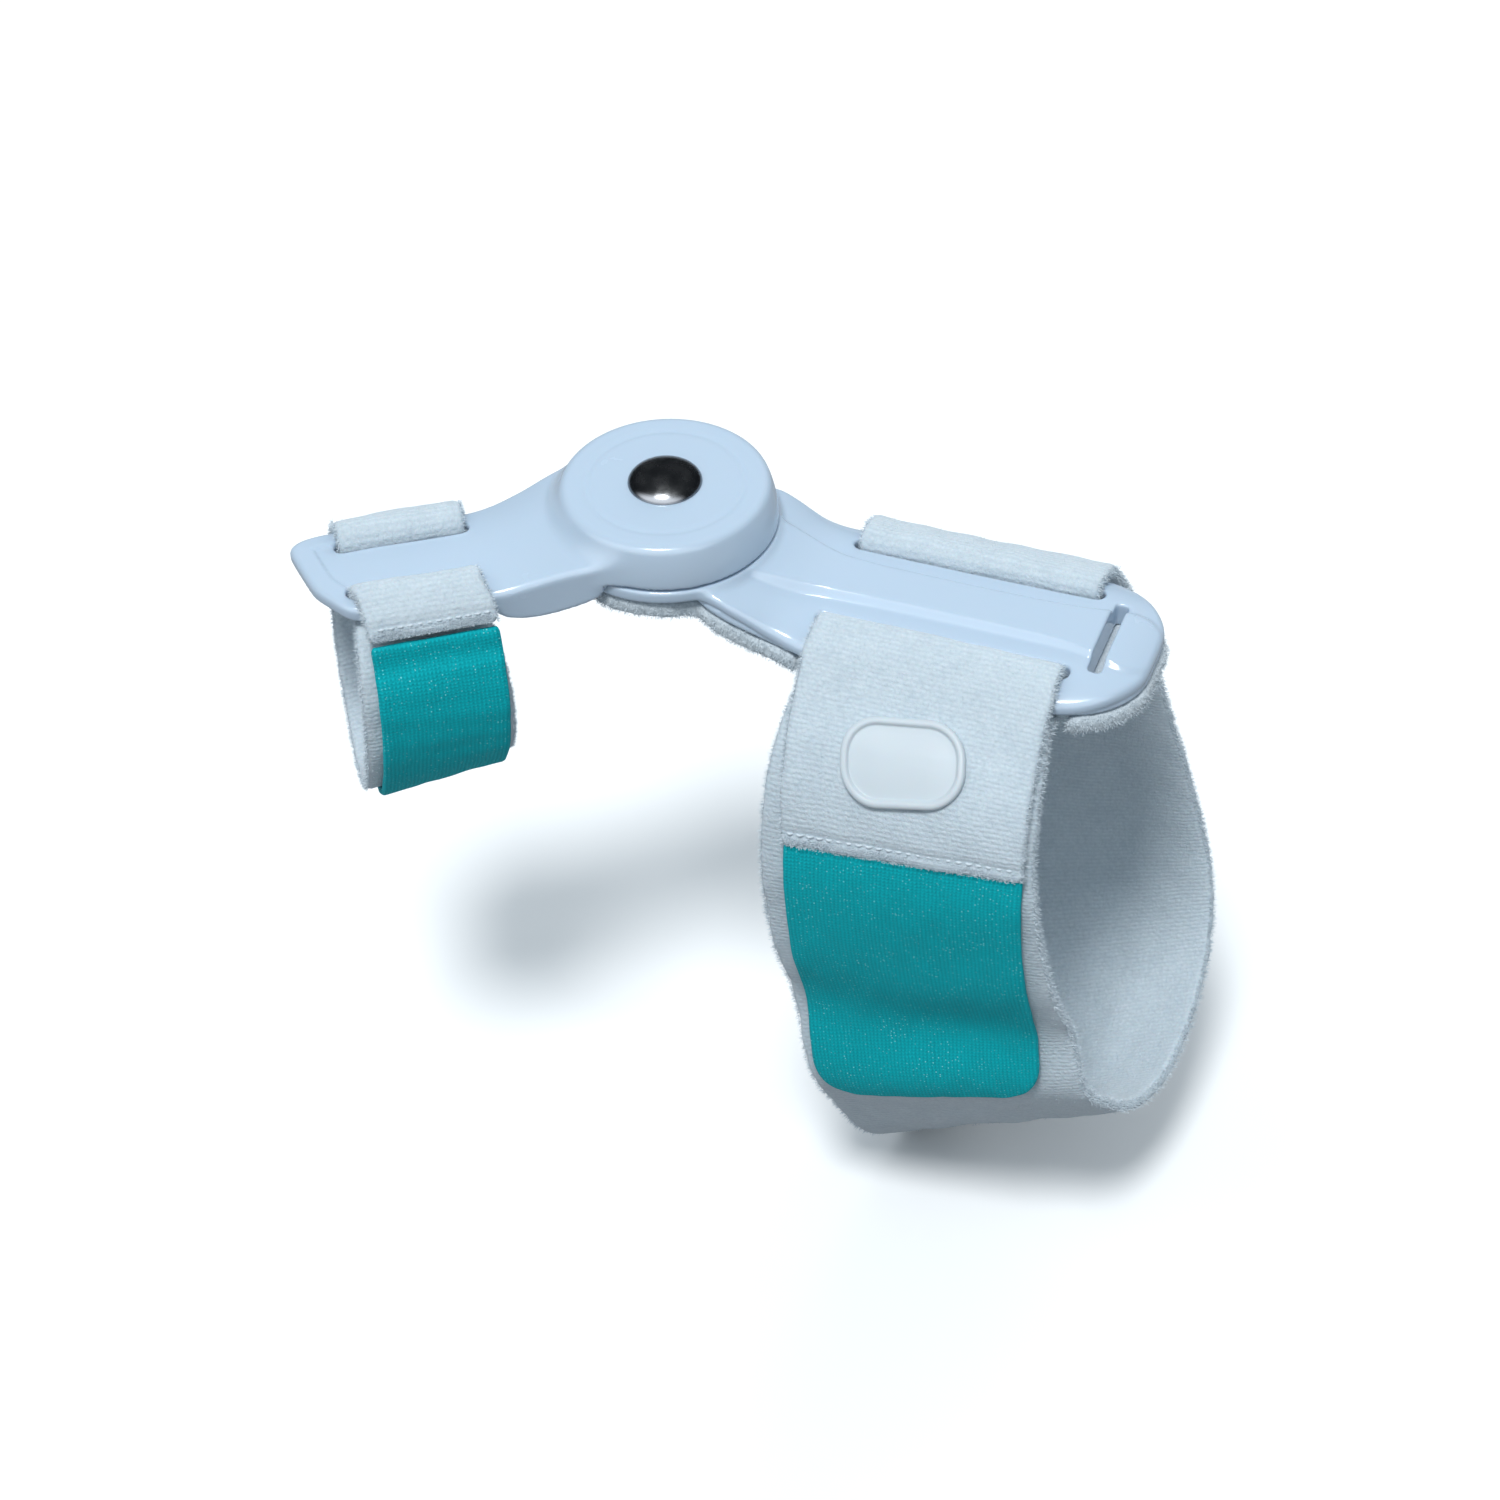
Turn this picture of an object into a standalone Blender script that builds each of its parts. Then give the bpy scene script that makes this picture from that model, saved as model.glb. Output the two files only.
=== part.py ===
"""Hinged two-arm splint: two plastic arms riveted at a hub, a foam pad and two straps with hook tabs.

Sizes are in millimetres and become metres in the meshes. They are measured in the hub frame, whose
origin is the centre of the hub's top face, with +X along the long arm, +Z out of the plate, -Y to the
near side, where the tabs are, and +Y to the far side. The finished object is shifted so that its
origin is the middle of the pad's inner face under the wide strap.
"""
import math

import bmesh
import bpy
from mathutils import Matrix, Vector

MM = 0.001
GAP = 0.3
CUT_REACH = 10.0

# Hub of the short arm, and how far that arm is turned about the hinge at rest.
TOE_ARM_TURN = 213.6
HUB_TOP_R = 15.1
HUB_FOOT_R = 16.4
HUB_HIGH = 6.9
HUB_SLOPE_HIGH = 3.15
HUB_EDGE_ROUND = 0.5
HUB_GROOVE_R = 11.6
HUB_GROOVE_HALF = 0.45
HUB_GROOVE_DEEP = 0.3

# Rivet: domed head, shank and flat tail.
RIVET_R = 5.45
RIVET_HIGH = 2.1
RIVET_SHANK_R = 2.4
RIVET_TAIL_R = 4.4
RIVET_TAIL_THICK = 0.9
RIVET_EDGE = 0.25

# Long arm: a disc under the hub, and a paddle with a raised spine and sloping rims.
DISC_R = 16.5
DISC_THICK = 2.2
DISC_EDGE_ROUND = 0.6
DISC_CLEARANCE = 0.6
FOOT_ARM_LONG = 74.4
FOOT_ARM_HALF = 14.9
FOOT_ARM_FALL = 4.3
SPINE_HALF = 3.95
SPINE_HIGH = 1.3
SPINE_ROUND = 0.9
LEDGE_WIDE = 3.5
FOOT_RIM_FALL = 2.5
FOOT_RIM_THICK = 1.6
FOOT_RIM_ROUND = 0.55
FOOT_SLOT_START = 26.0
FOOT_SLOT_END_MARGIN = 10.2
FOOT_SLOT_WIDE = 2.6
CROSS_SLOT_MARGIN = 7.1
CROSS_SLOT_LONG = 15.0
CROSS_SLOT_WIDE = 2.0

# Short arm: a bar with a skirt behind the slots and a slanted tip.
TOE_ARM_LONG = 53.4
TOE_ARM_HALF = 9.65
TOE_ARM_FALL = 3.55
HUB_STEP = 2.3
TOE_RIM_FALL = 1.35
TOE_RIM_THICK = 1.9
TOE_RIM_ROUND = 0.8
SKIRT_DEEP = 4.2
TOE_SLOT_START = 28.6
TOE_SLOT_END_MARGIN = 5.0
TOE_SLOT_INNER = 4.0
TOE_SLOT_WIDE = 2.6

# Pad under the long arm.
PAD_THICK = 3.0
PAD_INSET = 0.1
PAD_EDGE_ROUND = 0.8
PAD_NOTCH_MARGIN = 1.2
PAD_SIDE_CLEARANCE = 0.5

# Straps and tabs.
STRAP_THICK = 1.8
STRAP_SIDE_CLEARANCE = 0.9
TOE_STRAP_SIDE_CLEARANCE = 0.7
TOE_STRAP_CLEAR = 0.4
RIM_SLACK = 0.25
LAYER_GAP = 0.4
TAB_THICK = 1.2
WRAP_ROUND = 0.8
TAIL_STEP = 2.5
FOOT_TAB_STEP = 3.0
TOE_TAB_STEP = 1.8
FOOT_LOOP_DEEP = 87.8
FOOT_LOOP_NEAR = 31.0
FOOT_LOOP_FAR = 26.0
FOOT_LOOP_DRIFT = 16.1
FOOT_LOOP_RISE = 0.54
FOOT_LOOP_FLARE = 5.4
FOOT_TAIL_LONG = 21.0
FOOT_TAB_LONG = 49.7
FOOT_TAB_CORNER = 6.5
TOE_LOOP_DEEP = 31.9
TOE_LOOP_HALF = 14.7
TOE_LOOP_DRIFT = -0.5
TOE_LOOP_RISE = -0.17
TOE_LOOP_FLARE = 1.8
TOE_TAIL_SHIFT = -1.2
TOE_TAB_LONG = 33.1
TOE_TAB_CORNER = 4.0
TOE_TAB_START = 3.4
TOE_TAB_BUTT = 0.9

# Badge on the wide strap.
BADGE_LONG = 18.4
BADGE_HIGH = 12.4
BADGE_THICK = 1.1
BADGE_RIM = 1.3
BADGE_FLOOR = 0.35
BADGE_EDGE = 0.25
BADGE_TURN = 8.0
BADGE_ALONG = 13.2
BADGE_ACROSS = -0.6

# What follows from those sizes.
HUB_LOW = -HUB_HIGH
SHANK_HOLE_R = RIVET_SHANK_R + GAP
DISC_TOP = HUB_LOW - GAP
DISC_LOW = DISC_TOP - DISC_THICK
FOOT_LEDGE = DISC_TOP - FOOT_ARM_FALL
FOOT_RIM_EDGE = FOOT_LEDGE - FOOT_RIM_FALL
FOOT_RIM_LOW = FOOT_RIM_EDGE - FOOT_RIM_THICK
FOOT_SLOT_END = FOOT_ARM_LONG - FOOT_SLOT_END_MARGIN
FOOT_SLOT_INNER = SPINE_HALF + LEDGE_WIDE
PAD_TOP = FOOT_RIM_LOW - GAP
TOE_TOP = -HUB_STEP - TOE_ARM_FALL
TOE_RIM_EDGE = TOE_TOP - TOE_RIM_FALL
TOE_RIM_LOW = TOE_RIM_EDGE - TOE_RIM_THICK
TOE_SLOT_END = TOE_ARM_LONG - TOE_SLOT_END_MARGIN
STRAP_LIFT = STRAP_THICK / 2 + GAP
SEAT_X = (FOOT_SLOT_START + FOOT_SLOT_END) / 2
SEAT_Z = PAD_TOP - PAD_THICK

# Long arm's sections as shares: of its length, half width, spine, fall, spine's height and rim's fall, and
# of the way from the disc's underside to the rim's.
FOOT_ARM_SHARES = (
    (0.054, 0.60, 1.50, 0.06, 0.12, 0.06, 0.00),
    (0.121, 0.83, 1.60, 0.07, 0.15, 0.08, 0.15),
    (0.175, 0.91, 1.65, 0.14, 0.31, 0.24, 0.39),
    (0.222, 0.90, 1.57, 0.40, 0.77, 0.52, 0.61),
    (0.269, 0.88, 1.40, 0.70, 1.15, 0.80, 0.84),
    (0.309, 0.91, 1.22, 0.88, 1.15, 0.88, 0.95),
    (0.349, 0.95, 1.08, 0.97, 1.04, 0.98, 1.00),
    (0.430, 0.99, 1.01, 1.00, 1.00, 1.00, 1.00),
    (0.605, 1.00, 1.00, 1.00, 1.00, 1.00, 1.00),
    (0.780, 0.99, 1.01, 1.00, 0.98, 1.00, 1.00),
    (0.840, 0.97, 1.09, 0.98, 0.90, 1.00, 1.00),
    (0.880, 0.93, 1.20, 0.95, 0.77, 0.96, 1.00),
    (0.914, 0.86, 1.36, 0.94, 0.65, 0.86, 1.00),
    (0.941, 0.77, 1.48, 0.94, 0.50, 0.74, 1.00),
    (0.965, 0.65, 1.46, 0.95, 0.31, 0.60, 1.00),
    (0.983, 0.52, 1.30, 1.02, 0.23, 0.40, 1.00),
    (0.993, 0.41, 1.10, 1.09, 0.15, 0.28, 0.98),
    (1.000, 0.32, 0.86, 1.21, 0.08, 0.16, 0.95),
)

# Upper side of each arm from its middle or spine out to its edge: share of the way, share of the rim's fall.
FOOT_ARCH = ((0.08, -0.02), (0.66, 0.25), (0.90, 0.95))
TOE_ARCH = ((0.42, 0.20), (0.83, 0.75), (0.93, 1.00))

# Pad's outline under the disc: shares of the disc's radius, along and across.
PAD_DISC_SHARES = (
    (-0.96, 0.19), (-0.90, 0.36), (-0.73, 0.63), (-0.48, 0.82), (-0.18, 0.945), (0.06, 0.955),
)

# Short arm's sections as shares: of its length, near and far half width, then the section's slant, then
# shares of its fall, rim's fall and skirt.
TOE_ARM_SHARES = (
    (0.056, 0.99, 0.99, 0.00, 0.00, 0.23, 0.50),
    (0.168, 1.20, 1.20, 0.00, 0.00, 0.45, 0.66),
    (0.234, 1.25, 1.25, 0.00, 0.06, 0.89, 0.86),
    (0.271, 1.22, 1.22, 0.00, 0.13, 1.00, 1.02),
    (0.309, 1.17, 1.17, 0.00, 0.24, 1.07, 1.12),
    (0.356, 1.11, 1.11, 0.00, 0.45, 1.11, 1.14),
    (0.403, 1.07, 1.07, 0.00, 0.65, 1.15, 1.08),
    (0.449, 1.04, 1.04, 0.00, 0.82, 1.22, 0.92),
    (0.487, 1.02, 1.02, 0.00, 0.92, 1.29, 0.69),
    (0.511, 1.01, 1.01, 0.00, 0.97, 1.26, 0.44),
    (0.526, 1.00, 1.00, 0.00, 1.00, 1.15, 0.17),
    (0.536, 1.00, 1.00, 0.00, 1.00, 1.12, 0.00),
    (0.600, 0.99, 0.99, 0.00, 1.01, 1.00, 0.00),
    (0.730, 0.98, 0.98, 0.00, 0.99, 0.90, 0.00),
    (0.843, 0.97, 0.97, 0.02, 0.93, 0.70, 0.00),
    (0.891, 0.95, 0.96, 0.05, 0.90, 0.63, 0.00),
    (0.925, 0.89, 0.94, 0.11, 0.89, 0.63, 0.00),
    (0.951, 0.78, 0.91, 0.17, 0.89, 0.60, 0.00),
    (0.974, 0.60, 0.86, 0.22, 0.90, 0.56, 0.00),
    (0.991, 0.39, 0.78, 0.22, 0.93, 0.48, 0.02),
    (1.000, 0.19, 0.66, 0.22, 1.03, 0.30, 0.00),
)

# Loops from the far rim down and round to the near rim, as shares: of the drift along the arm, of the far
# (+) or near (-) reach, of the depth, of the rulings' rise and of the flare, then points to the next row.
FOOT_LOOP_SHARES = (
    (0.01, 0.79, 0.06, 0.00, 0.33, 3),
    (0.08, 0.92, 0.185, 0.06, 0.48, 4),
    (0.24, 1.00, 0.37, 0.17, 0.57, 4),
    (0.52, 0.99, 0.56, 0.37, 0.61, 4),
    (0.84, 0.885, 0.745, 0.67, 0.61, 4),
    (0.99, 0.63, 0.885, 0.89, 0.78, 4),
    (1.00, 0.19, 0.977, 1.00, 0.93, 4),
    (0.90, -0.24, 1.00, 1.00, 1.00, 4),
    (0.70, -0.58, 0.93, 0.87, 0.96, 4),
    (0.48, -0.80, 0.77, 0.63, 0.78, 4),
    (0.27, -0.923, 0.572, 0.41, 0.65, 4),
    (0.12, -0.987, 0.39, 0.28, 0.57, 4),
    (0.04, -1.00, 0.247, 0.22, 0.50, 4),
    (0.01, -0.91, 0.128, 0.11, 0.39, 3),
    (0.00, -0.742, 0.05, 0.00, 0.26, 3),
    (0.00, -0.555, 0.01, 0.00, 0.13, 2),
)
TOE_LOOP_SHARES = (
    (0.4, 0.93, 0.13, 0.06, 0.61, 3),
    (0.6, 1.00, 0.367, 0.18, 0.89, 4),
    (0.2, 0.88, 0.66, 0.47, 1.00, 4),
    (-0.2, 0.52, 0.90, 0.82, 1.00, 4),
    (-0.4, -0.03, 1.00, 1.00, 1.00, 4),
    (0.0, -0.54, 0.909, 0.88, 1.00, 4),
    (0.6, -0.88, 0.677, 0.53, 1.00, 4),
    (1.0, -0.993, 0.398, 0.18, 0.89, 3),
    (0.6, -0.905, 0.172, 0.06, 0.61, 2),
    (0.2, -0.70, 0.047, 0.00, 0.28, 2),
)
# How many of the last loop rows the tail and the tab lie on.
FOOT_UNDER_COUNT = 11
TOE_UNDER_COUNT = 7

# Tail past the rim's edge: outwards and upwards from it, in millimetres, by hand.
FOOT_TAIL_OVER = ((-0.1, 1.85), (3.7, -0.8))
TOE_TAIL_OVER = ((-0.6, 1.8), (1.85, 0.25), (3.4, -1.95))

# Layers laid on the loop: shares of their length, of the strap's half width across it, and of that width.
FOOT_TAIL_SHARES = ((0.26, 0.02, 1.015), (0.62, 0.06, 1.005), (1.00, 0.08, 0.995))
FOOT_TAB_SHARES = ((0.00, 0.08, 0.995), (0.28, 0.04, 0.995), (0.58, -0.02, 1.00), (1.00, -0.13, 1.01))
TOE_TAB_SHARES = ((0.00, -0.13, 1.00), (0.20, -0.10, 1.01), (1.00, -0.01, 1.02))

def clear_scene():
    for old in list(bpy.data.objects):
        bpy.data.objects.remove(old, do_unlink=True)


def new_collection(name, hidden=False):
    made = bpy.data.collections.new(name)
    made.hide_render = hidden
    bpy.context.scene.collection.children.link(made)
    return made


def new_empty(name, collection, turn=0.0):
    """An empty on the hinge's axis, for the pieces that are measured from it."""
    made = bpy.data.objects.new(name, None)
    collection.objects.link(made)
    made.location = (-SEAT_X * MM, 0.0, 0.0)
    made.rotation_euler = (0.0, 0.0, math.radians(turn))
    return made


def material(name, colour, roughness, metallic=0.0, coat=0.0):
    made = bpy.data.materials.new(name)
    made.use_nodes = True
    shader = made.node_tree.nodes["Principled BSDF"]
    shader.inputs["Base Color"].default_value = (*colour, 1.0)
    shader.inputs["Roughness"].default_value = roughness
    shader.inputs["Metallic"].default_value = metallic
    shader.inputs["Coat Weight"].default_value = coat
    made.diffuse_color = (*colour, 1.0)
    return made


def placed(made, collection, surface, parent=None):
    """Links a piece, gives it its material and shades its round faces smooth."""
    collection.objects.link(made)
    made.data.materials.append(surface)
    made.data.shade_smooth()
    made.data.set_sharp_from_angle(angle=math.radians(40))
    made.parent = parent
    return made


def hidden_helper(helper, collection, parent=None):
    collection.objects.link(helper)
    helper.hide_render = True
    helper.display_type = "WIRE"
    helper.parent = parent
    return helper


def boolean(target, operation, other):
    step = target.modifiers.new(f"{operation.lower()} {other.name}", "BOOLEAN")
    step.operation = operation
    step.solver = "EXACT"
    step.object = other


def in_hub_frame(points):
    return [Vector(((x - SEAT_X) * MM, y * MM, (z - SEAT_Z) * MM)) for x, y, z in points]


def from_hinge(points):
    """For pieces whose parent is on the hinge's axis."""
    return [Vector((x * MM, y * MM, (z - SEAT_Z) * MM)) for x, y, z in points]


def lofted(name, rings, to_metres):
    """A closed body from rings of the same length, with flat ends."""
    built = bmesh.new()
    rows = [[built.verts.new(point) for point in to_metres(ring)] for ring in rings]
    count = len(rows[0])
    for first, second in zip(rows, rows[1:]):
        for k in range(count):
            after = (k + 1) % count
            built.faces.new((first[k], first[after], second[after], second[k]))
    built.faces.new(rows[0])
    built.faces.new(rows[-1])
    bmesh.ops.recalc_face_normals(built, faces=built.faces)
    mesh = bpy.data.meshes.new(name)
    built.to_mesh(mesh)
    built.free()
    return bpy.data.objects.new(name, mesh)


def turned(name, profile, steps):
    """A body turned about the hinge's axis from a profile that runs from top to bottom at +X."""
    mesh = bpy.data.meshes.new(name)
    edges = [(k, k + 1) for k in range(len(profile) - 1)]
    mesh.from_pydata(from_hinge([(r, 0.0, z) for r, z in profile]), edges, [])
    made = bpy.data.objects.new(name, mesh)
    screw = made.modifiers.new("turn", "SCREW")
    screw.axis = "Z"
    screw.steps = steps
    screw.render_steps = steps
    screw.use_merge_vertices = True
    screw.merge_threshold = 0.00001
    return made


def drum(name, radius, top, bottom, steps):
    return turned(name, ((0.0, top), (radius, top), (radius, bottom), (0.0, bottom)), steps)


def slot_cutter(name, length, width, x, y, z, turn, collection, parent):
    """A round-ended bar about the hinge: a 2D curve, extruded and made into a mesh."""
    curve = bpy.data.curves.new(name, "CURVE")
    curve.dimensions = "2D"
    curve.fill_mode = "BOTH"
    curve.extrude = CUT_REACH * MM
    radius = width / 2
    reach = length / 2 - radius
    outline = []
    for start, middle in ((-90, reach), (90, -reach)):
        for k in range(9):
            angle = math.radians(start + 22.5 * k)
            outline.append((middle + radius * math.cos(angle), radius * math.sin(angle)))
    spline = curve.splines.new("POLY")
    spline.points.add(len(outline) - 1)
    for point, (along, across) in zip(spline.points, outline):
        point.co = (along * MM, across * MM, 0.0, 1.0)
    spline.use_cyclic_u = True
    shape = bpy.data.objects.new(name + "_outline", curve)
    collection.objects.link(shape)
    bpy.context.view_layer.update()
    graph = bpy.context.evaluated_depsgraph_get()
    mesh = bpy.data.meshes.new_from_object(shape.evaluated_get(graph))
    bpy.data.objects.remove(shape, do_unlink=True)
    built = bmesh.new()
    built.from_mesh(mesh)
    bmesh.ops.remove_doubles(built, verts=built.verts, dist=0.000001)
    bmesh.ops.recalc_face_normals(built, faces=built.faces)
    built.to_mesh(mesh)
    built.free()
    centre = from_hinge([(x, y, z)])[0]
    mesh.transform(Matrix.Translation(centre) @ Matrix.Rotation(math.radians(turn), 4, "Z"))
    return hidden_helper(bpy.data.objects.new(name, mesh), collection, parent)


def arched(y, inner, half, top, fall, arch):
    """Height of an arm's upper side at a distance from its long axis."""
    share = (y - inner) / (half - inner)
    before = (0.0, 0.0)
    for after in (*arch, (1.0, 1.0)):
        if share <= after[0]:
            break
        before = after
    t = (share - before[0]) / (after[0] - before[0])
    return top - fall * (before[1] + (after[1] - before[1]) * t)


def foot_arm_rows():
    """Long arm's sections in millimetres: x, half width, spine, spine's top, ledge, rim's fall, underside."""
    rows = []
    for along, half, spine, fall, high, rim, under in FOOT_ARM_SHARES:
        ledge = DISC_TOP - fall * FOOT_ARM_FALL
        low = DISC_LOW + under * (FOOT_RIM_LOW - DISC_LOW)
        rows.append((along * FOOT_ARM_LONG, half * FOOT_ARM_HALF, spine * SPINE_HALF,
                     ledge + high * SPINE_HIGH, ledge, rim * FOOT_RIM_FALL, low))
    return rows


def foot_arm_ring(x, half, spine, spine_top, ledge, rim, low):
    """Raised spine with a rounded step, ledge, arched rim and rounded edge, on both sides."""
    step = SPINE_ROUND
    side = [(spine - step, spine_top), (spine - 0.22 * step, spine_top - 0.15 * (spine_top - ledge)),
            (spine + 0.39 * step, (spine_top + ledge) / 2)]
    for share, fall in FOOT_ARCH:
        side.append((spine + share * (half - spine), ledge - fall * rim))
    e = FOOT_RIM_ROUND
    side += [(half - 0.64 * e, ledge - rim - 0.18 * e), (half, ledge - rim - e),
             (half - 0.09 * e, low + 0.9 * e), (half - e, low), (half * 0.5, low)]
    near = [(x, -y, z) for y, z in side]
    far = [(x, y, z) for y, z in reversed(side)]
    return [(x, 0.0, spine_top)] + near + [(x, 0.0, low)] + far


def build_foot_arm(parts, helpers, hinge, plastic):
    rings = [foot_arm_ring(*row) for row in foot_arm_rows()]
    arm = placed(lofted("foot_arm", rings, in_hub_frame), parts, plastic)
    e = DISC_EDGE_ROUND
    disc = turned("foot_disc", (
        (0.0, DISC_TOP), (DISC_R - e, DISC_TOP), (DISC_R - 0.3 * e, DISC_TOP - 0.3 * e),
        (DISC_R, DISC_TOP - e), (DISC_R, DISC_LOW + e), (DISC_R - 0.3 * e, DISC_LOW + 0.3 * e),
        (DISC_R - e, DISC_LOW), (0.0, DISC_LOW),
    ), 72)
    boolean(arm, "UNION", hidden_helper(disc, helpers, hinge))
    middle = (FOOT_SLOT_START + FOOT_SLOT_END) / 2
    offset = FOOT_SLOT_INNER + FOOT_SLOT_WIDE / 2
    for name, y in (("foot_slot_near", -offset), ("foot_slot_far", offset)):
        cutter = slot_cutter(name, FOOT_SLOT_END - FOOT_SLOT_START, FOOT_SLOT_WIDE, middle, y, FOOT_RIM_EDGE,
                             0.0, helpers, hinge)
        boolean(arm, "DIFFERENCE", cutter)
    cross = FOOT_ARM_LONG - CROSS_SLOT_MARGIN
    cutter = slot_cutter("cross_slot", CROSS_SLOT_LONG, CROSS_SLOT_WIDE, cross, 0.0, FOOT_RIM_EDGE, 90.0,
                         helpers, hinge)
    boolean(arm, "DIFFERENCE", cutter)
    hole = drum("foot_rivet_hole", SHANK_HOLE_R, CUT_REACH, DISC_LOW - CUT_REACH, 32)
    boolean(arm, "DIFFERENCE", hidden_helper(hole, helpers, hinge))


def pad_ring(x, half, top):
    low = top - PAD_THICK
    e = PAD_EDGE_ROUND
    side = ((half * 0.6, top), (half - e, top), (half - 0.2 * e, top - 0.3 * e), (half, top - e),
            (half, low + e), (half - 0.2 * e, low + 0.3 * e), (half - e, low), (half * 0.6, low))
    near = [(x, -y, z) for y, z in side]
    far = [(x, y, z) for y, z in reversed(side)]
    return [(x, 0.0, top)] + near + [(x, 0.0, low)] + far


def build_pad(parts, helpers, hinge, fleece):
    """Follows the long arm's underside, and is notched where the wide strap passes its slots."""
    rows = [(along * DISC_R, half * DISC_R, DISC_LOW - GAP) for along, half in PAD_DISC_SHARES]
    start = FOOT_SLOT_START - PAD_NOTCH_MARGIN
    end = FOOT_SLOT_END + PAD_NOTCH_MARGIN
    narrow = FOOT_SLOT_INNER - PAD_SIDE_CLEARANCE
    arm = [(row[0], row[1] - PAD_INSET, row[6] - GAP) for row in foot_arm_rows()[1:]]
    before = [row for row in arm if row[0] < start]
    beside = [(x, narrow, top) for x, half, top in arm if start < x < end]
    after = [row for row in arm if row[0] > end]
    rows += before
    rows.append((start - 2 * GAP, before[-1][1], (before[-1][2] + PAD_TOP) / 2))
    rows.append((start, narrow, (before[-1][2] + PAD_TOP) / 2))
    rows += beside
    rows.append((end, narrow, PAD_TOP))
    rows.append((end + 2 * GAP, after[0][1], PAD_TOP))
    rows += after
    pad = placed(lofted("foot_pad", [pad_ring(*row) for row in rows], in_hub_frame), parts, fleece)
    pocket = drum("tail_pocket", RIVET_TAIL_R + 2 * GAP, 0.0, DISC_LOW - RIVET_TAIL_THICK - 3 * GAP, 32)
    boolean(pad, "DIFFERENCE", hidden_helper(pocket, helpers, hinge))


def build_rivet(parts, hinge, steel):
    profile = [(0.0, RIVET_HIGH)]
    for k in range(1, 9):
        angle = math.radians(90 - 10.5 * k)
        profile.append((RIVET_R * math.cos(angle), RIVET_HIGH * math.sin(angle)))
    tail = DISC_LOW - GAP
    low = tail - RIVET_TAIL_THICK
    e = RIVET_EDGE
    profile += [(RIVET_R, GAP + e), (RIVET_R - e, GAP), (RIVET_SHANK_R, GAP), (RIVET_SHANK_R, tail),
                (RIVET_TAIL_R, tail), (RIVET_TAIL_R, low + e), (RIVET_TAIL_R - e, low), (0.0, low)]
    placed(turned("rivet", profile, 48), parts, steel, hinge)


def toe_arm_ring(along, near, far, slant, fall, rim, skirt):
    """Arched top, rounded shoulders, upright sides and a flat underside."""
    x = along * TOE_ARM_LONG
    top = -HUB_STEP - fall * TOE_ARM_FALL
    drop = rim * TOE_RIM_FALL
    low = top - drop - TOE_RIM_THICK - skirt * SKIRT_DEEP

    def side(half, sign):
        points = [(share * half, top - fall * drop) for share, fall in TOE_ARCH]
        e = TOE_RIM_ROUND
        points += [(half - 0.25 * e, top - drop - 0.3 * e), (half, top - drop - e),
                   (half - 0.06 * e, low + e), (half - 0.37 * e, low + 0.3 * e), (half - 1.12 * e, low),
                   (half * 0.5, low)]
        return [(x - slant * sign * y, sign * y, z) for y, z in points]

    first = side(near * TOE_ARM_HALF, 1)
    second = side(far * TOE_ARM_HALF, -1)
    return [(x, 0.0, top)] + first + [(x, 0.0, low)] + second[::-1]


def build_toe_arm(parts, helpers, turn, plastic):
    rings = [toe_arm_ring(*row) for row in TOE_ARM_SHARES]
    arm = placed(lofted("toe_arm", rings, from_hinge), parts, plastic, turn)
    e = HUB_EDGE_ROUND
    slope = -HUB_SLOPE_HIGH
    hub = turned("toe_hub", (
        (0.0, 0.0), (HUB_GROOVE_R - HUB_GROOVE_HALF, 0.0), (HUB_GROOVE_R, -HUB_GROOVE_DEEP),
        (HUB_GROOVE_R + HUB_GROOVE_HALF, 0.0), (HUB_TOP_R - e, 0.0), (HUB_TOP_R - 0.3 * e, -0.12 * e),
        (HUB_TOP_R + 0.2 * e, -e), (HUB_FOOT_R - 0.2 * e, slope + 0.6 * e), (HUB_FOOT_R, slope - 0.4 * e),
        (HUB_FOOT_R, HUB_LOW + 0.8 * e), (HUB_FOOT_R - 0.8 * e, HUB_LOW), (0.0, HUB_LOW),
    ), 96)
    boolean(arm, "UNION", hidden_helper(hub, helpers, turn))
    middle = (TOE_SLOT_START + TOE_SLOT_END) / 2
    offset = TOE_SLOT_INNER + TOE_SLOT_WIDE / 2
    for name, y in (("toe_slot_near", offset), ("toe_slot_far", -offset)):
        cutter = slot_cutter(name, TOE_SLOT_END - TOE_SLOT_START, TOE_SLOT_WIDE, middle, y, TOE_RIM_EDGE,
                             0.0, helpers, turn)
        boolean(arm, "DIFFERENCE", cutter)
    # Clears the disc that turns under the hub, and lets the rivet through.
    relief = drum("disc_relief", DISC_R + DISC_CLEARANCE, HUB_LOW + 0.05, HUB_LOW - CUT_REACH, 72)
    boolean(arm, "DIFFERENCE", hidden_helper(relief, helpers, turn))
    hole = drum("toe_rivet_hole", SHANK_HOLE_R, CUT_REACH, HUB_LOW - CUT_REACH, 32)
    boolean(arm, "DIFFERENCE", hidden_helper(hole, helpers, turn))


def rim_wrap(mid, half, slot_wide, rim_top, edge, low):
    """A strap's middle line round a rim, from under it, up through the slot and over it: y and z."""
    under = low - STRAP_LIFT
    inner = mid + slot_wide / 2
    over = rim_top(inner) + STRAP_LIFT + RIM_SLACK
    crest = inner + 0.35 * (half - inner)
    r = WRAP_ROUND
    return [(half - 2.5 * r, under - 0.25 * r), (mid + 1.12 * r, under), (mid + 0.12 * r, under + 0.88 * r),
            (mid, (under + over) / 2), (mid + 0.12 * r, over - r), (mid + 1.12 * r, over),
            (crest, rim_top(crest) + STRAP_LIFT + RIM_SLACK), (half - 0.38 * r, edge + STRAP_LIFT + 0.62 * r)]


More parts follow.
